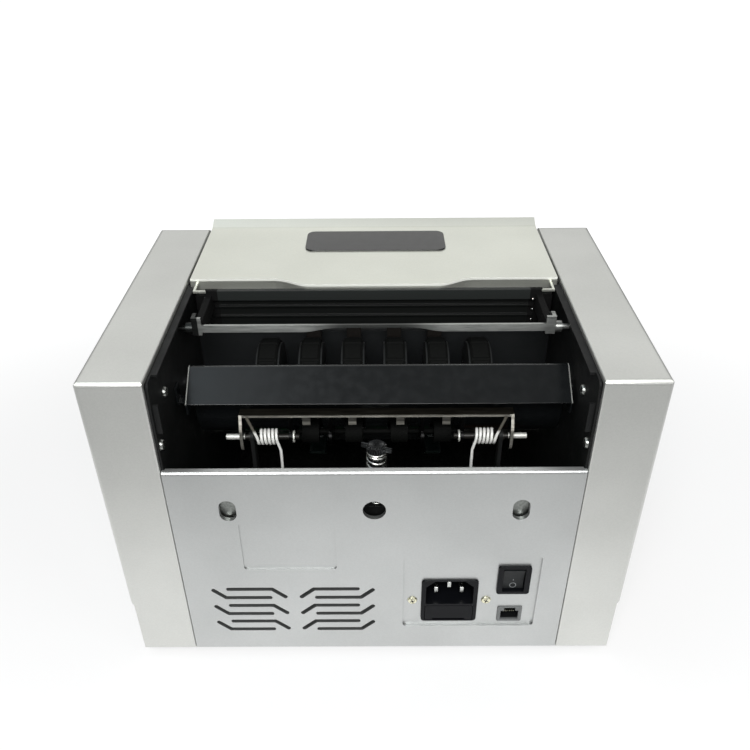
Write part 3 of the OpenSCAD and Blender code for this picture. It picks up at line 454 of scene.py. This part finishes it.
def moulded_guide(name="polished guide plate"):
    """Black ABS from a polished mould, with a painted highlight, a pale line, down each end edge of its
    broad face.
    """
    material, tree, shader, at = start(name)
    wave = noise(tree, at, 9)
    _, high = box_mm("guide_plate")
    axes = axes_of(tree, at)
    broad = between(tree, axes["Z"], high.z - GUIDE_BAND, high.z - GUIDE_BAND + 1.5, 0, 0.6)
    edge = maths(tree, "MINIMUM", *[distance(tree, axes["X"], end) for end in GUIDE_ENDS])
    # Painted highlight: a pale line just inside each end of the broad face
    painted_highlight = product(tree, between(tree, edge, 0.3, 0.45, 1, 0), broad)
    black = ramp(tree, wave, srgb("#121415"), srgb("#121415", 1.3), 0.2, 0.9)
    join(tree, shader, Base_Color=blend(tree, painted_highlight, black, srgb("#b4b5b0")))
    scuffed(tree, shader, at, 5, 0.16, 0.24)
    finish(shader, IOR=1.54, Specular_IOR_Level=0.5)
    relief(tree, shader, wave, 0.03)
    return material


def tinted_window(name="smoked acrylic"):
    """Smoked red acrylic over the display: dark and clear, with a sharp gloss."""
    material, tree, shader, at = start(name)
    wave = noise(tree, at, 20)
    join(tree, shader, Base_Color=ramp(tree, wave, srgb("#1c0709"), srgb("#260b0d")))
    finish(shader, Roughness=0.07, IOR=1.49)
    relief(tree, shader, wave, 0.02)
    return material


def lit(name, colour, strength):
    """Display segment: red light through a diffusing film that dims it in spots 0.4 mm wide."""
    material, tree, shader, at = start(name)
    glowing = ramp(tree, noise(tree, at, 0.4), srgb(colour, 0.85), srgb(colour))
    join(tree, shader, Base_Color=glowing, Emission_Color=glowing)
    finish(shader, Emission_Strength=strength, Roughness=0.35)
    return material


def socket_plastic(name="light grey ABS"):
    """Telephone-type jack: grey shell, with painted shade, near black, in its cavity behind the face.
    """
    material, tree, shader, at = start(name)
    grain = noise(tree, at, 0.5, 3.0)
    face = ramp(tree, grain, srgb("#5e6060"), srgb("#727474"))
    # Painted shade: deeper than the face the cavity turns near black
    behind = between(tree, axes_of(tree, at)["Y"], REAR / MM - JACK_SHADE_FROM,
                     REAR / MM - JACK_FACE_D, 1, 0)
    join(tree, shader, Base_Color=blend(tree, behind, face, srgb("#121314")))
    finish(shader, Roughness=0.42, IOR=1.53, Specular_IOR_Level=0.35)
    relief(tree, shader, grain, 0.01)
    return material


def circuit_board(name="solder mask"):
    """Fibreglass board under green solder mask with lighter copper tracks, and black parts."""
    material, tree, shader, at = start(name)
    low, _ = box_mm("main_board")
    parts_from = low.z + BOARD_TOP
    parts = between(tree, axes_of(tree, at)["Z"], parts_from, parts_from + 0.2, 0, 1)
    lines = add(tree, "TexBrick", {"Vector": at, "Color1": srgb("#1f4a2e"), "Color2": srgb("#1b4229"),
                                   "Mortar": srgb("#3f7a4b"), "Scale": 1.0, "Mortar Size": 0.25,
                                   "Brick Width": 5.0, "Row Height": 2.5}).outputs["Color"]
    join(tree, shader, Base_Color=blend(tree, parts, lines, srgb("#17181a")))
    finish(shader, Roughness=0.36, IOR=1.5)
    relief(tree, shader, noise(tree, at, 0.6), 0.01)
    return material


def knurled_plastic(name="ribbed black nylon", count=24):
    """Black nylon knob with a count of ribs round its rim, with painted shade in the grooves between
    them.
    """
    material, tree, shader, at = start(name)
    axes = axes_of(tree, vectors(tree, "SUBTRACT", at, tuple(middle("gap_screw_knob") / MM)))
    turn = maths(tree, "ARCTAN2", axes["Y"], axes["X"])
    ribs = maths(tree, "SINE", maths(tree, "MULTIPLY", turn, count))
    # Painted shade darkens the grooves between the ribs
    join(tree, shader, Base_Color=ramp(tree, between(tree, ribs, -1, 1, 0, 1), srgb("#0e0f10"),
                                       srgb("#2b2d2e"), 0.2, 0.8))
    finish(shader, Roughness=0.4, IOR=1.53)
    relief(tree, shader, ribs, 0.2)
    return material


# SILVER and TOP get a painted highlight from their edge height up; PANEL gets painted shade on faces
# that look up below its ledge
SILVER = silver_lacquer("silver lacquer", "#cccdc9", "#d9dad6", 0.36, TOP_Z - 0.9)
PANEL = silver_lacquer("silver lacquer on the rear panel", "#babcbb", "#c7c9c8", 0.34,
                       ledge=TOP_Z - 75)
TOP = silver_lacquer("silver lacquer on the feed cover", "#dddfd5", "#e9ebe1", 0.34, TOP_Z - 1.4)
BLACK_COAT = powder_coat()
GLOSS = moulded_guide()
BADGE = polished_plastic("polished badge plate", "#0d0e0f", 0.12)
INLET = polished_plastic("phenolic black", "#0c0d10", 0.34, 0.12)
BLACK_ABS = grained_plastic("black ABS", "#1d1f20", 0.5, 0.25)
BLOCK_ABS = block_plastic()
GUIDE_ABS = grained_plastic("charcoal ABS", "#2c2e31")
KEY_ABS = grained_plastic("grey ABS", "#6f7377")
JACK_ABS = socket_plastic()
ZINC = plated_steel("zinc plate", "#7c7f7c", "#a3a6a2", 0.34)
BRIGHT = plated_steel("bright zinc plate", "#b9bbb8", "#dcddda", 0.22)
SCREW = plated_steel("zinc plate of the screws", "#8b8e8a", "#b4b6b2", 0.3)
BAR = bracket_steel()
PIN = pin_steel()
WIRE = spring_wire()
COIL_WIRE = plated_steel("bright spring wire", "#d9dbd6", "#f2f3ee", 0.24)
STRIP = rolled_steel()
BRASS = plated_steel("yellow zinc", "#dad6b2", "#fbfae6", 0.26)
RUBBER = rubber("nitrile rubber", "#090a09", 1.4, 0.78)
PAD = rubber("friction rubber", "#151311", 1.4, 0.7)
WHEEL = grained_plastic("dark green nylon", "#17211f", 0.42, 0.25)
WINDOW = tinted_window()
BOARD = circuit_board()
COIL = polished_plastic("varnished winding", "#5b3c1e", 0.35)
MOTOR = plated_steel("motor case", "#6a6d70", "#8c8f92", 0.4)
DRUM = turned("drum shaft and hubs", "feed_shaft", 4.1, "#191b1b", 0.5)
PICKUP = turned("pickup shaft and hubs", "pickup_shaft", 3.6, "#2a2c2d", 0.5)
STACKER = turned("stacker shaft and pulley", "stacker_shaft", 3.6, "#2a2c2d", 0.5)
OUTFEED = turned("outfeed shaft and rolls", "outfeed_shaft", 3.6, "#141515", 0.62)
PINCH = rubber("rollers on a blackened axle", "#080908", 1.4, 0.75)
KNOB = knurled_plastic()
MARK = grained_plastic("white pad print", "#c9cccb", 0.5)
WORN_MARK = grained_plastic("worn pad print", "#7f8283", 0.5)
# Painted shade for the screws' cross recesses
RECESS_SHADE = powder_coat("painted recess shade")
SEGMENT = lit("lit segment", "#ff3a22", 2.2)
DEAD_SEGMENT = lit("unlit segment", "#3a1214", 0.02)

# Each node's finish, and the radius in mm to which its sharp edges are broken
FINISHES = {
    "left_side_cover": (SILVER, 0.5), "right_side_cover": (SILVER, 0.5),
    "rear_panel": (PANEL, 0.35), "top_cover": (TOP, 1.0), "cover_badge": (BADGE, 0.3),
    "left_frame": (BLACK_COAT, 0.25), "right_frame": (BLACK_COAT, 0.25),
    "guide_plate": (GLOSS, 0.4), "separator_block": (BLOCK_ABS, 0.25),
    "separator_pads": (PAD, 0.3), "cover_bracket": (BAR, 0.25),
    "hopper_bed": (BLACK_ABS, 0.4), "hopper_guide_left": (GUIDE_ABS, 0.5),
    "hopper_guide_right": (GUIDE_ABS, 0.5), "control_panel": (BLACK_ABS, 0.5),
    "display_window": (WINDOW, 0.2), "stacker_pocket": (BLACK_ABS, 0.5),
    "base_plate": (ZINC, 0.2), "feet": (RUBBER, 0.3), "cross_rods": (ZINC, 0),
    "frame_screws": (SCREW, 0.1), "panel_brackets": (ZINC, 0.15), "feed_shaft": (DRUM, 0.2),
    "pickup_shaft": (PICKUP, 0.2), "stacker_shaft": (STACKER, 0.2),
    "outfeed_shaft": (OUTFEED, 0.3), "pinch_bar": (BLACK_COAT, 0.2),
    "pinch_pins": (PIN, 0.15), "pinch_plate": (STRIP, 0.2), "pinch_springs": (WIRE, 0),
    "pinch_rollers": (PINCH, 0.3), "gap_screw_knob": (KNOB, 0.2),
    "gap_spring": (COIL_WIRE, 0), "stacker_wheel_left": (WHEEL, 0.2),
    "stacker_wheel_right": (WHEEL, 0.2), "main_motor": (MOTOR, 0.4),
    "motor_pulley": (ZINC, 0.2), "drive_belt": (RUBBER, 0), "stacker_belt": (RUBBER, 0),
    "main_board": (BOARD, 0.1), "transformer": (COIL, 0.4), "inlet_body": (INLET, 0.3),
    "inlet_pins": (BRIGHT, 0.2), "inlet_screws": (BRASS, 0.1), "fuse_drawer": (INLET, 0.2),
    "switch_body": (INLET, 0.3), "switch_rocker": (BLACK_ABS, 0.3), "data_jack": (JACK_ABS, 0.25),
    "pickup_tyre_left": (RUBBER, 0.2), "pickup_tyre_right": (RUBBER, 0.2),
}
KEYS = [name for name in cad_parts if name.startswith("key_")]
FINISHES.update({name: (KEY_ABS, 0.5) for name in KEYS})
FINISHES.update({name: (RUBBER, 0.2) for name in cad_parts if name.startswith("feed_tyre_")})


def soften(piece, radius):
    """Break the sharp edges to a radius in mm and shade the piece smoothly."""
    weld = piece.modifiers.new("weld", "WELD")
    weld.merge_threshold = 0.002 * MM
    if radius:
        bevel = piece.modifiers.new("edge", "BEVEL")
        bevel.width = radius * MM
        bevel.segments = 2
        bevel.limit_method = "ANGLE"
        bevel.angle_limit = radians(40)
        bevel.harden_normals = True
    piece.modifiers.new("normals", "WEIGHTED_NORMAL").keep_sharp = True


def dress_nodes():
    """Give every node its finish and its broken edges."""
    for name, (material, radius) in FINISHES.items():
        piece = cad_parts[name]
        piece.data.materials.clear()
        piece.data.materials.append(material)
        for polygon in piece.data.polygons:
            polygon.use_smooth = True
        soften(piece, radius)


# ---------------------------------------------------------------- mesh helpers
def prism(shape, outline, at, right, up, depth):
    """Closed plate over an outline of (u, v) points in mm: its back at a point, its front depth out."""
    out = right.cross(up)
    low = [shape.verts.new(at + (u * right + v * up) * MM) for u, v in outline]
    high = [shape.verts.new(vert.co + out * depth * MM) for vert in low]
    shape.faces.new(list(reversed(low)))
    shape.faces.new(high)
    for i, vert in enumerate(low):
        j = (i + 1) % len(low)
        shape.faces.new([vert, low[j], high[j], high[i]])


def lathe(shape, profile, at, out, steps=24):
    """Solid turned round the axis out, from (radius, height) points in mm."""
    side = out.orthogonal().normalized()
    rings = []
    for k in range(steps):
        arm = Matrix.Rotation(2 * pi * k / steps, 3, out) @ side
        rings.append([shape.verts.new(at + (arm * r + out * h) * MM) for r, h in profile])
    for k in range(steps):
        here, there = rings[k], rings[(k + 1) % steps]
        for i in range(len(profile) - 1):
            shape.faces.new([here[i], there[i], there[i + 1], here[i + 1]])
    bmesh.ops.remove_doubles(shape, verts=shape.verts[:], dist=1e-7)


def add_piece(name, material, body, build):
    """New piece whose mesh build() draws, riding on a body."""
    shape = bmesh.new()
    build(shape)
    bmesh.ops.recalc_face_normals(shape, faces=shape.faces[:])
    mesh = bpy.data.meshes.new(name)
    shape.to_mesh(mesh)
    shape.free()
    mesh.materials.append(material)
    piece = bpy.data.objects.new(name, mesh)
    bpy.context.collection.objects.link(piece)
    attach(piece, body)


def surface_of(node):
    """Tree of a node's faces, for finding points on its skin."""
    return BVHTree.FromPolygons([v.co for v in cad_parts[node].data.vertices],
                                [p.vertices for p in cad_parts[node].data.polygons])


def on_skin(tree, at, towards):
    """Point and normal where a ray from at meets the skin."""
    point, normal, _, _ = tree.ray_cast(at, towards)
    return point, normal


def clusters(node, reach):
    """Boxes of a node's separate lumps whose corners lie within reach mm of each other."""
    lumps = []
    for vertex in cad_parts[node].data.vertices:
        near = [lump for lump in lumps if (lump[0] - vertex.co).length < reach * MM]
        if near:
            near[0].append(vertex.co)
        else:
            lumps.append([vertex.co])
    boxes = []
    for lump in lumps:
        boxes.append((Vector([min(v[i] for v in lump) for i in range(3)]),
                      Vector([max(v[i] for v in lump) for i in range(3)])))
    return boxes


# ---------------------------------------------------------------- small pieces
# Outlines, profiles and the other sizes without MM are in millimetres, as the mesh helpers take them
SKIN = 0.02 * MM  # how far a mark stands off its face, and a rivet is sunk in its own
AWAY = 20 * MM  # how far off a face the rays that look for it start
FRONT_ABOVE = Vector((0, -0.1, 0.1))  # from a node on the front, towards the operator
MARK_T = 0.03  # thickness of the painted shade in the screws' recesses and of the switch's print
FILM_T = 0.02  # thickness of the display's segments and the keys' print


def cross(reach, half):
    """Outline of an upright cross, its arms reach mm long and twice half wide."""
    return [(-reach, -half), (-half, -half), (-half, -reach), (half, -reach), (half, -half),
            (reach, -half), (reach, half), (half, half), (half, reach), (-half, reach),
            (-half, half), (-reach, half)]


def oblong(u0, v0, u1, v1):
    """Outline of a rectangle between two corners."""
    return [(u0, v0), (u1, v0), (u1, v1), (u0, v1)]


def upright(out):
    """Rightward and upward directions in a face that looks out."""
    up = (UP - out * UP.dot(out)).normalized()
    return up.cross(out), up


def front_face(node):
    """Middle of the face that a node on the front turns to the operator, and its direction."""
    skin = surface_of(node)
    _, out = on_skin(skin, middle(node) + FRONT_ABOVE, -FRONT_ABOVE)
    face, _ = on_skin(skin, middle(node) + out * AWAY, -out)
    return face, out


def cross_recesses():
    """Cross recess in each screw head of the inlet and the frame, each turned its own way, drawn as a
    thin dark film: painted shade.
    """
    between_screws = middle("inlet_screws").x

    def inlet(shape):
        for low, high in clusters("inlet_screws", 10):
            at = Vector(((low.x + high.x) / 2, high.y + SKIN / 2, (low.z + high.z) / 2))
            turn = Matrix.Rotation(radians(20 if low.x > between_screws else -25), 3, BACK)
            prism(shape, cross(1.35, 0.27), at, turn @ -RIGHT, turn @ UP, MARK_T)

    def walls(shape):
        for low, high in clusters("frame_screws", 6):
            inward = -1 if low.x > 0 else 1
            at = Vector((high.x if inward > 0 else low.x, (low.y + high.y) / 2, (low.z + high.z) / 2))
            turn = Matrix.Rotation(radians(30 + 0.4 * low.y / MM), 3, RIGHT)
            prism(shape, cross(1.2, 0.24), at, turn @ BACK * inward, turn @ UP, MARK_T)

    add_piece("inlet_screw_recess_shade", RECESS_SHADE, "housing", inlet)
    add_piece("frame_screw_recess_shade", RECESS_SHADE, "housing", walls)


RING_DROP = 0.66  # share of the rocker's half height from its middle down to the ring
BAR_DROP = 0.12  # and to the bar
RING = [(1.45, 0), (1.85, 0), (1.85, MARK_T), (1.45, MARK_T), (1.45, 0)]
BAR_MARK = oblong(-0.2, -0.45, 0.2, 0.45)


def rocker_marks():
    """Ring and short bar printed on the rocker's face."""
    skin = surface_of("switch_rocker")
    centre = middle("switch_rocker")
    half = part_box("switch_rocker")[1][2] - centre.z

    def spot(drop):
        at, out = on_skin(skin, centre + BACK * AWAY - UP * drop * half, -BACK)
        return at + out * SKIN, out

    def build(shape):
        at, out = spot(RING_DROP)
        lathe(shape, RING, at, out)
        at, out = spot(BAR_DROP)
        prism(shape, BAR_MARK, at, *upright(out), MARK_T)

    add_piece("rocker_marks", WORN_MARK, "rocker", build)


CONTACTS = 6
CONTACT_PITCH = 1.02
CONTACT_R = 0.22
CONTACT_ENDS = ((2, 0.4), (7, -2.4))  # each end's depth behind the jack's face and height


def jack_contacts():
    """Six gilt spring wires that slope down through the jack's cavity."""
    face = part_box("data_jack")[1][1]
    centre = middle("data_jack")

    def build(shape):
        for k in range(CONTACTS):
            x = centre.x + (k - (CONTACTS - 1) / 2) * CONTACT_PITCH * MM
            tip, root = [Vector((x, face - depth * MM, centre.z + high * MM))
                         for depth, high in CONTACT_ENDS]
            run = (root - tip).length / MM
            lathe(shape, [(0, 0), (CONTACT_R, 0), (CONTACT_R, run), (0, run)], tip,
                  (root - tip).normalized(), 10)

    add_piece("jack_contacts", BRASS, "housing", build)


RIVET = [(0, 0), (1.3, 0), (1.25, 0.35), (0.95, 0.7), (0.5, 0.88), (0, 0.95)]
RIVET_WIDE = 0.62  # shares of that half section's width and height
RIVET_HIGH = 0.8
RIVET_PLACES = [(-86.6, 171.2), (-87.3, 163.8), (-87.3, 157.4), (92.3, 171.2), (89.4, 171.2)]


def block_rivets():
    """Bright rivets that hold the separator block's sheet, on its rear face."""
    skin = surface_of("separator_block")
    profile = [(r * RIVET_WIDE, h * RIVET_HIGH) for r, h in RIVET]

    def build(shape):
        for x, high in RIVET_PLACES:
            point, out = on_skin(skin, place(x, 0, high) + BACK * AWAY, -BACK)
            lathe(shape, profile, point - out * SKIN, out, 16)

    add_piece("block_rivets", BRIGHT, "feed_cover", build)


LIP_FORE = 107  # the feed cover's rear lip, in front of the rear face
LIP_LOW = 172.6  # its lower edge
LIP_H = 4.6
WEB_T = 1.3
WEB_SINK = 0.12  # how far the webs stand back from the lip's rear face
CURVE_FROM = 54  # distance from the middle at which the lip starts to curve in
CURVE_RUN = 18
CURVE_D = 7.5
WEB_X = (58.5, 54, 50, 46, 43, 40, 36)  # points along the curve, closer where it bends


def eased(share):
    """Ease a share from 0 to 1."""
    share = min(1, max(0, share))
    return share * share * (3 - 2 * share)


def lip_webs():
    """Webs that close the feed cover's rear lip where its edge curves in to the middle."""
    at = Vector((0, 0, FLOOR_OF_HOUSING + LIP_LOW * MM))
    straight = REAR / MM - LIP_FORE - WEB_SINK

    def build(shape):
        for side in (-1, 1):
            rear = [(side * x, straight + CURVE_D * eased((CURVE_FROM - x) / CURVE_RUN)) for x in WEB_X]
            front = [(x, y - WEB_T) for x, y in reversed(rear)]
            outline = (rear + front)[::-side]
            prism(shape, outline, at, RIGHT, BACK, LIP_H)

    add_piece("lip_webs", TOP, "feed_cover", build)


SEGMENTS = {
    "a": ((-1.4, 3.4), (1.4, 3.4)), "b": ((1.7, 3.1), (1.7, 0.3)), "c": ((1.7, -0.3), (1.7, -3.1)),
    "d": ((-1.4, -3.4), (1.4, -3.4)), "e": ((-1.7, -0.3), (-1.7, -3.1)),
    "f": ((-1.7, 3.1), (-1.7, 0.3)), "g": ((-1.4, 0), (1.4, 0)),
}
SEGMENT_POINT = 0.45  # length of a segment's pointed ends, for a digit 6.8 mm high
SEGMENT_SIDE = 0.75  # half a segment's width, as a share of that
DIGITS = {"0": "abcdef", "1": "bc"}
# Digits with the place of their middle, left of the window's, their scale and their pitch
DIGIT_GROUPS = [("   0", 13.5, 1.5, 9.0), ("100", -17.5, 1.05, 6.4)]


def segment(ends, size):
    """Outline of a segment between two ends, pointed at both."""
    a, b = [Vector(end) * size for end in ends]
    along = (b - a).normalized() * SEGMENT_POINT * size
    side = Vector((-along.y, along.x)) * SEGMENT_SIDE
    return [a, a + along - side, b - along - side, b, b - along + side, a + along + side]


def display_digits():
    """Four counting digits and three batch digits on the window, of seven segments each."""
    face, out = front_face("display_window")
    right, up = upright(out)

    def draw(shape, lit_ones):
        for text, left, size, pitch in DIGIT_GROUPS:
            for k, digit in enumerate(text):
                shift = (k - (len(text) - 1) / 2) * pitch - left
                for name, ends in SEGMENTS.items():
                    if (name in DIGITS.get(digit, "")) == lit_ones:
                        prism(shape, [(p.x + shift, p.y) for p in segment(ends, size)],
                              face + out * SKIN / 2, right, up, FILM_T)

    add_piece("lit_segments", SEGMENT, "housing", lambda shape: draw(shape, True))
    add_piece("unlit_segments", DEAD_SEGMENT, "housing",
              lambda shape: draw(shape, False))


KEY_MARKS = {
    "key_mode": [oblong(-2.4, v, 2.4, v + 0.6) for v in (0.9, -0.3, -1.5)],
    "key_add": [cross(2.2, 0.35)],
    "key_batch": [oblong(-2.2, -1.6, 0.8, 1.2),
                  [(1.2, -1.0), (1.7, -1.0), (1.7, 1.9), (-1.4, 1.9), (-1.4, 1.5), (1.2, 1.5)]],
    "key_reset": [[(-1.9, -1.9), (1.9, -1.9), (0, 1.9)]],
}


def key_marks():
    """Plain pad-printed sign on each key."""
    for name, outlines in KEY_MARKS.items():
        face, out = front_face(name)

        def build(shape):
            for outline in outlines:
                prism(shape, outline, face + out * SKIN / 2, *upright(out), FILM_T)

        add_piece(name + "_mark", MARK, name, build)


# ---------------------------------------------------------------- studio
def area_light(name, at, aim, size, watts):
    """Soft box of size metres at a point, turned to face another."""
    data = bpy.data.lights.new(name, "AREA")
    data.shape = "RECTANGLE"
    data.size, data.size_y = size
    data.energy = watts
    lamp = bpy.data.objects.new(name, data)
    bpy.context.collection.objects.link(lamp)
    lamp.location = at
    lamp.rotation_euler = (Vector(aim) - Vector(at)).to_track_quat("-Z", "Y").to_euler()


BRIGHT_WALL = 0.94  # the surround's light from in front of the machine
DIM_CEILING = 0.16  # and from above and behind it
LOW_WALL = 0.25  # share that is left of it near the floor
COOL_WINDOW = 0.95  # bluish light from a patch high on the operator's right
NEAR_FLOOR = 0.67  # the floor's own light in reflections, round the machine
FAR_FLOOR = 0.02  # and away from it
SHADOW_FLOOR = 0.62  # the same two to the camera, where the rest comes from the lamps
WHITE_FLOOR = 0.92


def surround():
    """White to the eye; as a light, a bright wall in front and a dim ceiling and rear."""
    world = bpy.data.worlds.new("surround")
    bpy.context.scene.world = world
    world.use_nodes = True
    tree = world.node_tree
    sky = tree.nodes["Background"]
    axes = axes_of(tree, add(tree, "TexCoord").outputs["Generated"])
    wall = product(tree, between(tree, axes["Y"], -0.3, -0.75, DIM_CEILING, BRIGHT_WALL),
                   between(tree, axes["Z"], 0.05, 0.4, LOW_WALL, 1))
    window = product(tree, between(tree, axes["X"], 0.04, 0.28, 0, COOL_WINDOW),
                     between(tree, axes["Z"], 0.75, 0.9, 0, 1))
    seen = add(tree, "LightPath").outputs["Is Camera Ray"]
    strength = add(tree, "Mix", {0: seen, 2: maths(tree, "ADD", wall, window), 3: 1.0}).outputs[0]
    cool = blend(tree, window, (1, 1, 0.985, 1), (0.8, 0.92, 1, 1))
    tree.links.new(strength, sky.inputs["Strength"])
    tree.links.new(blend(tree, seen, cool, (1, 1, 1, 1)), sky.inputs["Color"])


def paper_floor():
    """White sheet, lit close round the machine and falling to grey, with a faint shadow."""
    bpy.ops.mesh.primitive_plane_add(size=8)
    floor = bpy.context.object
    floor.name = "floor"
    material, tree, shader, at = start("paper floor")
    far = length(tree, vectors(tree, "MULTIPLY", at, (0.6, 1, 1)))
    level = between(tree, far, 165, 360, NEAR_FLOOR, FAR_FLOOR)
    shown = between(tree, far, 120, 520, SHADOW_FLOOR, WHITE_FLOOR)
    seen = add(tree, "LightPath").outputs["Is Camera Ray"]
    strength = add(tree, "Mix", {0: seen, 2: level, 3: shown}).outputs[0]
    join(tree, shader, Emission_Strength=strength)
    finish(shader, Base_Color=(0.34, 0.34, 0.34, 1), Emission_Color=(1, 1, 1, 1), Roughness=0.9,
           Specular_IOR_Level=0.0)
    floor.data.materials.append(material)


def studio():
    """Pale floor, white surround and three soft boxes."""
    bpy.context.scene.view_settings.view_transform = "Standard"
    surround()
    paper_floor()
    area_light("key", (0.15, 1.05, 1.3), (0, 0, 0.1), (0.8, 0.6), 10)
    area_light("fill", (-0.9, 0.7, 0.9), (0, 0, 0.1), (0.7, 0.7), 2.5)
    area_light("low fill", (0, 0.82, 0.69), (0, 0.03, 0.1), (0.6, 0.35), 5)


set_camera()
studio()
dress_nodes()
cross_recesses()
rocker_marks()
jack_contacts()
block_rivets()
lip_webs()
display_digits()
key_marks()
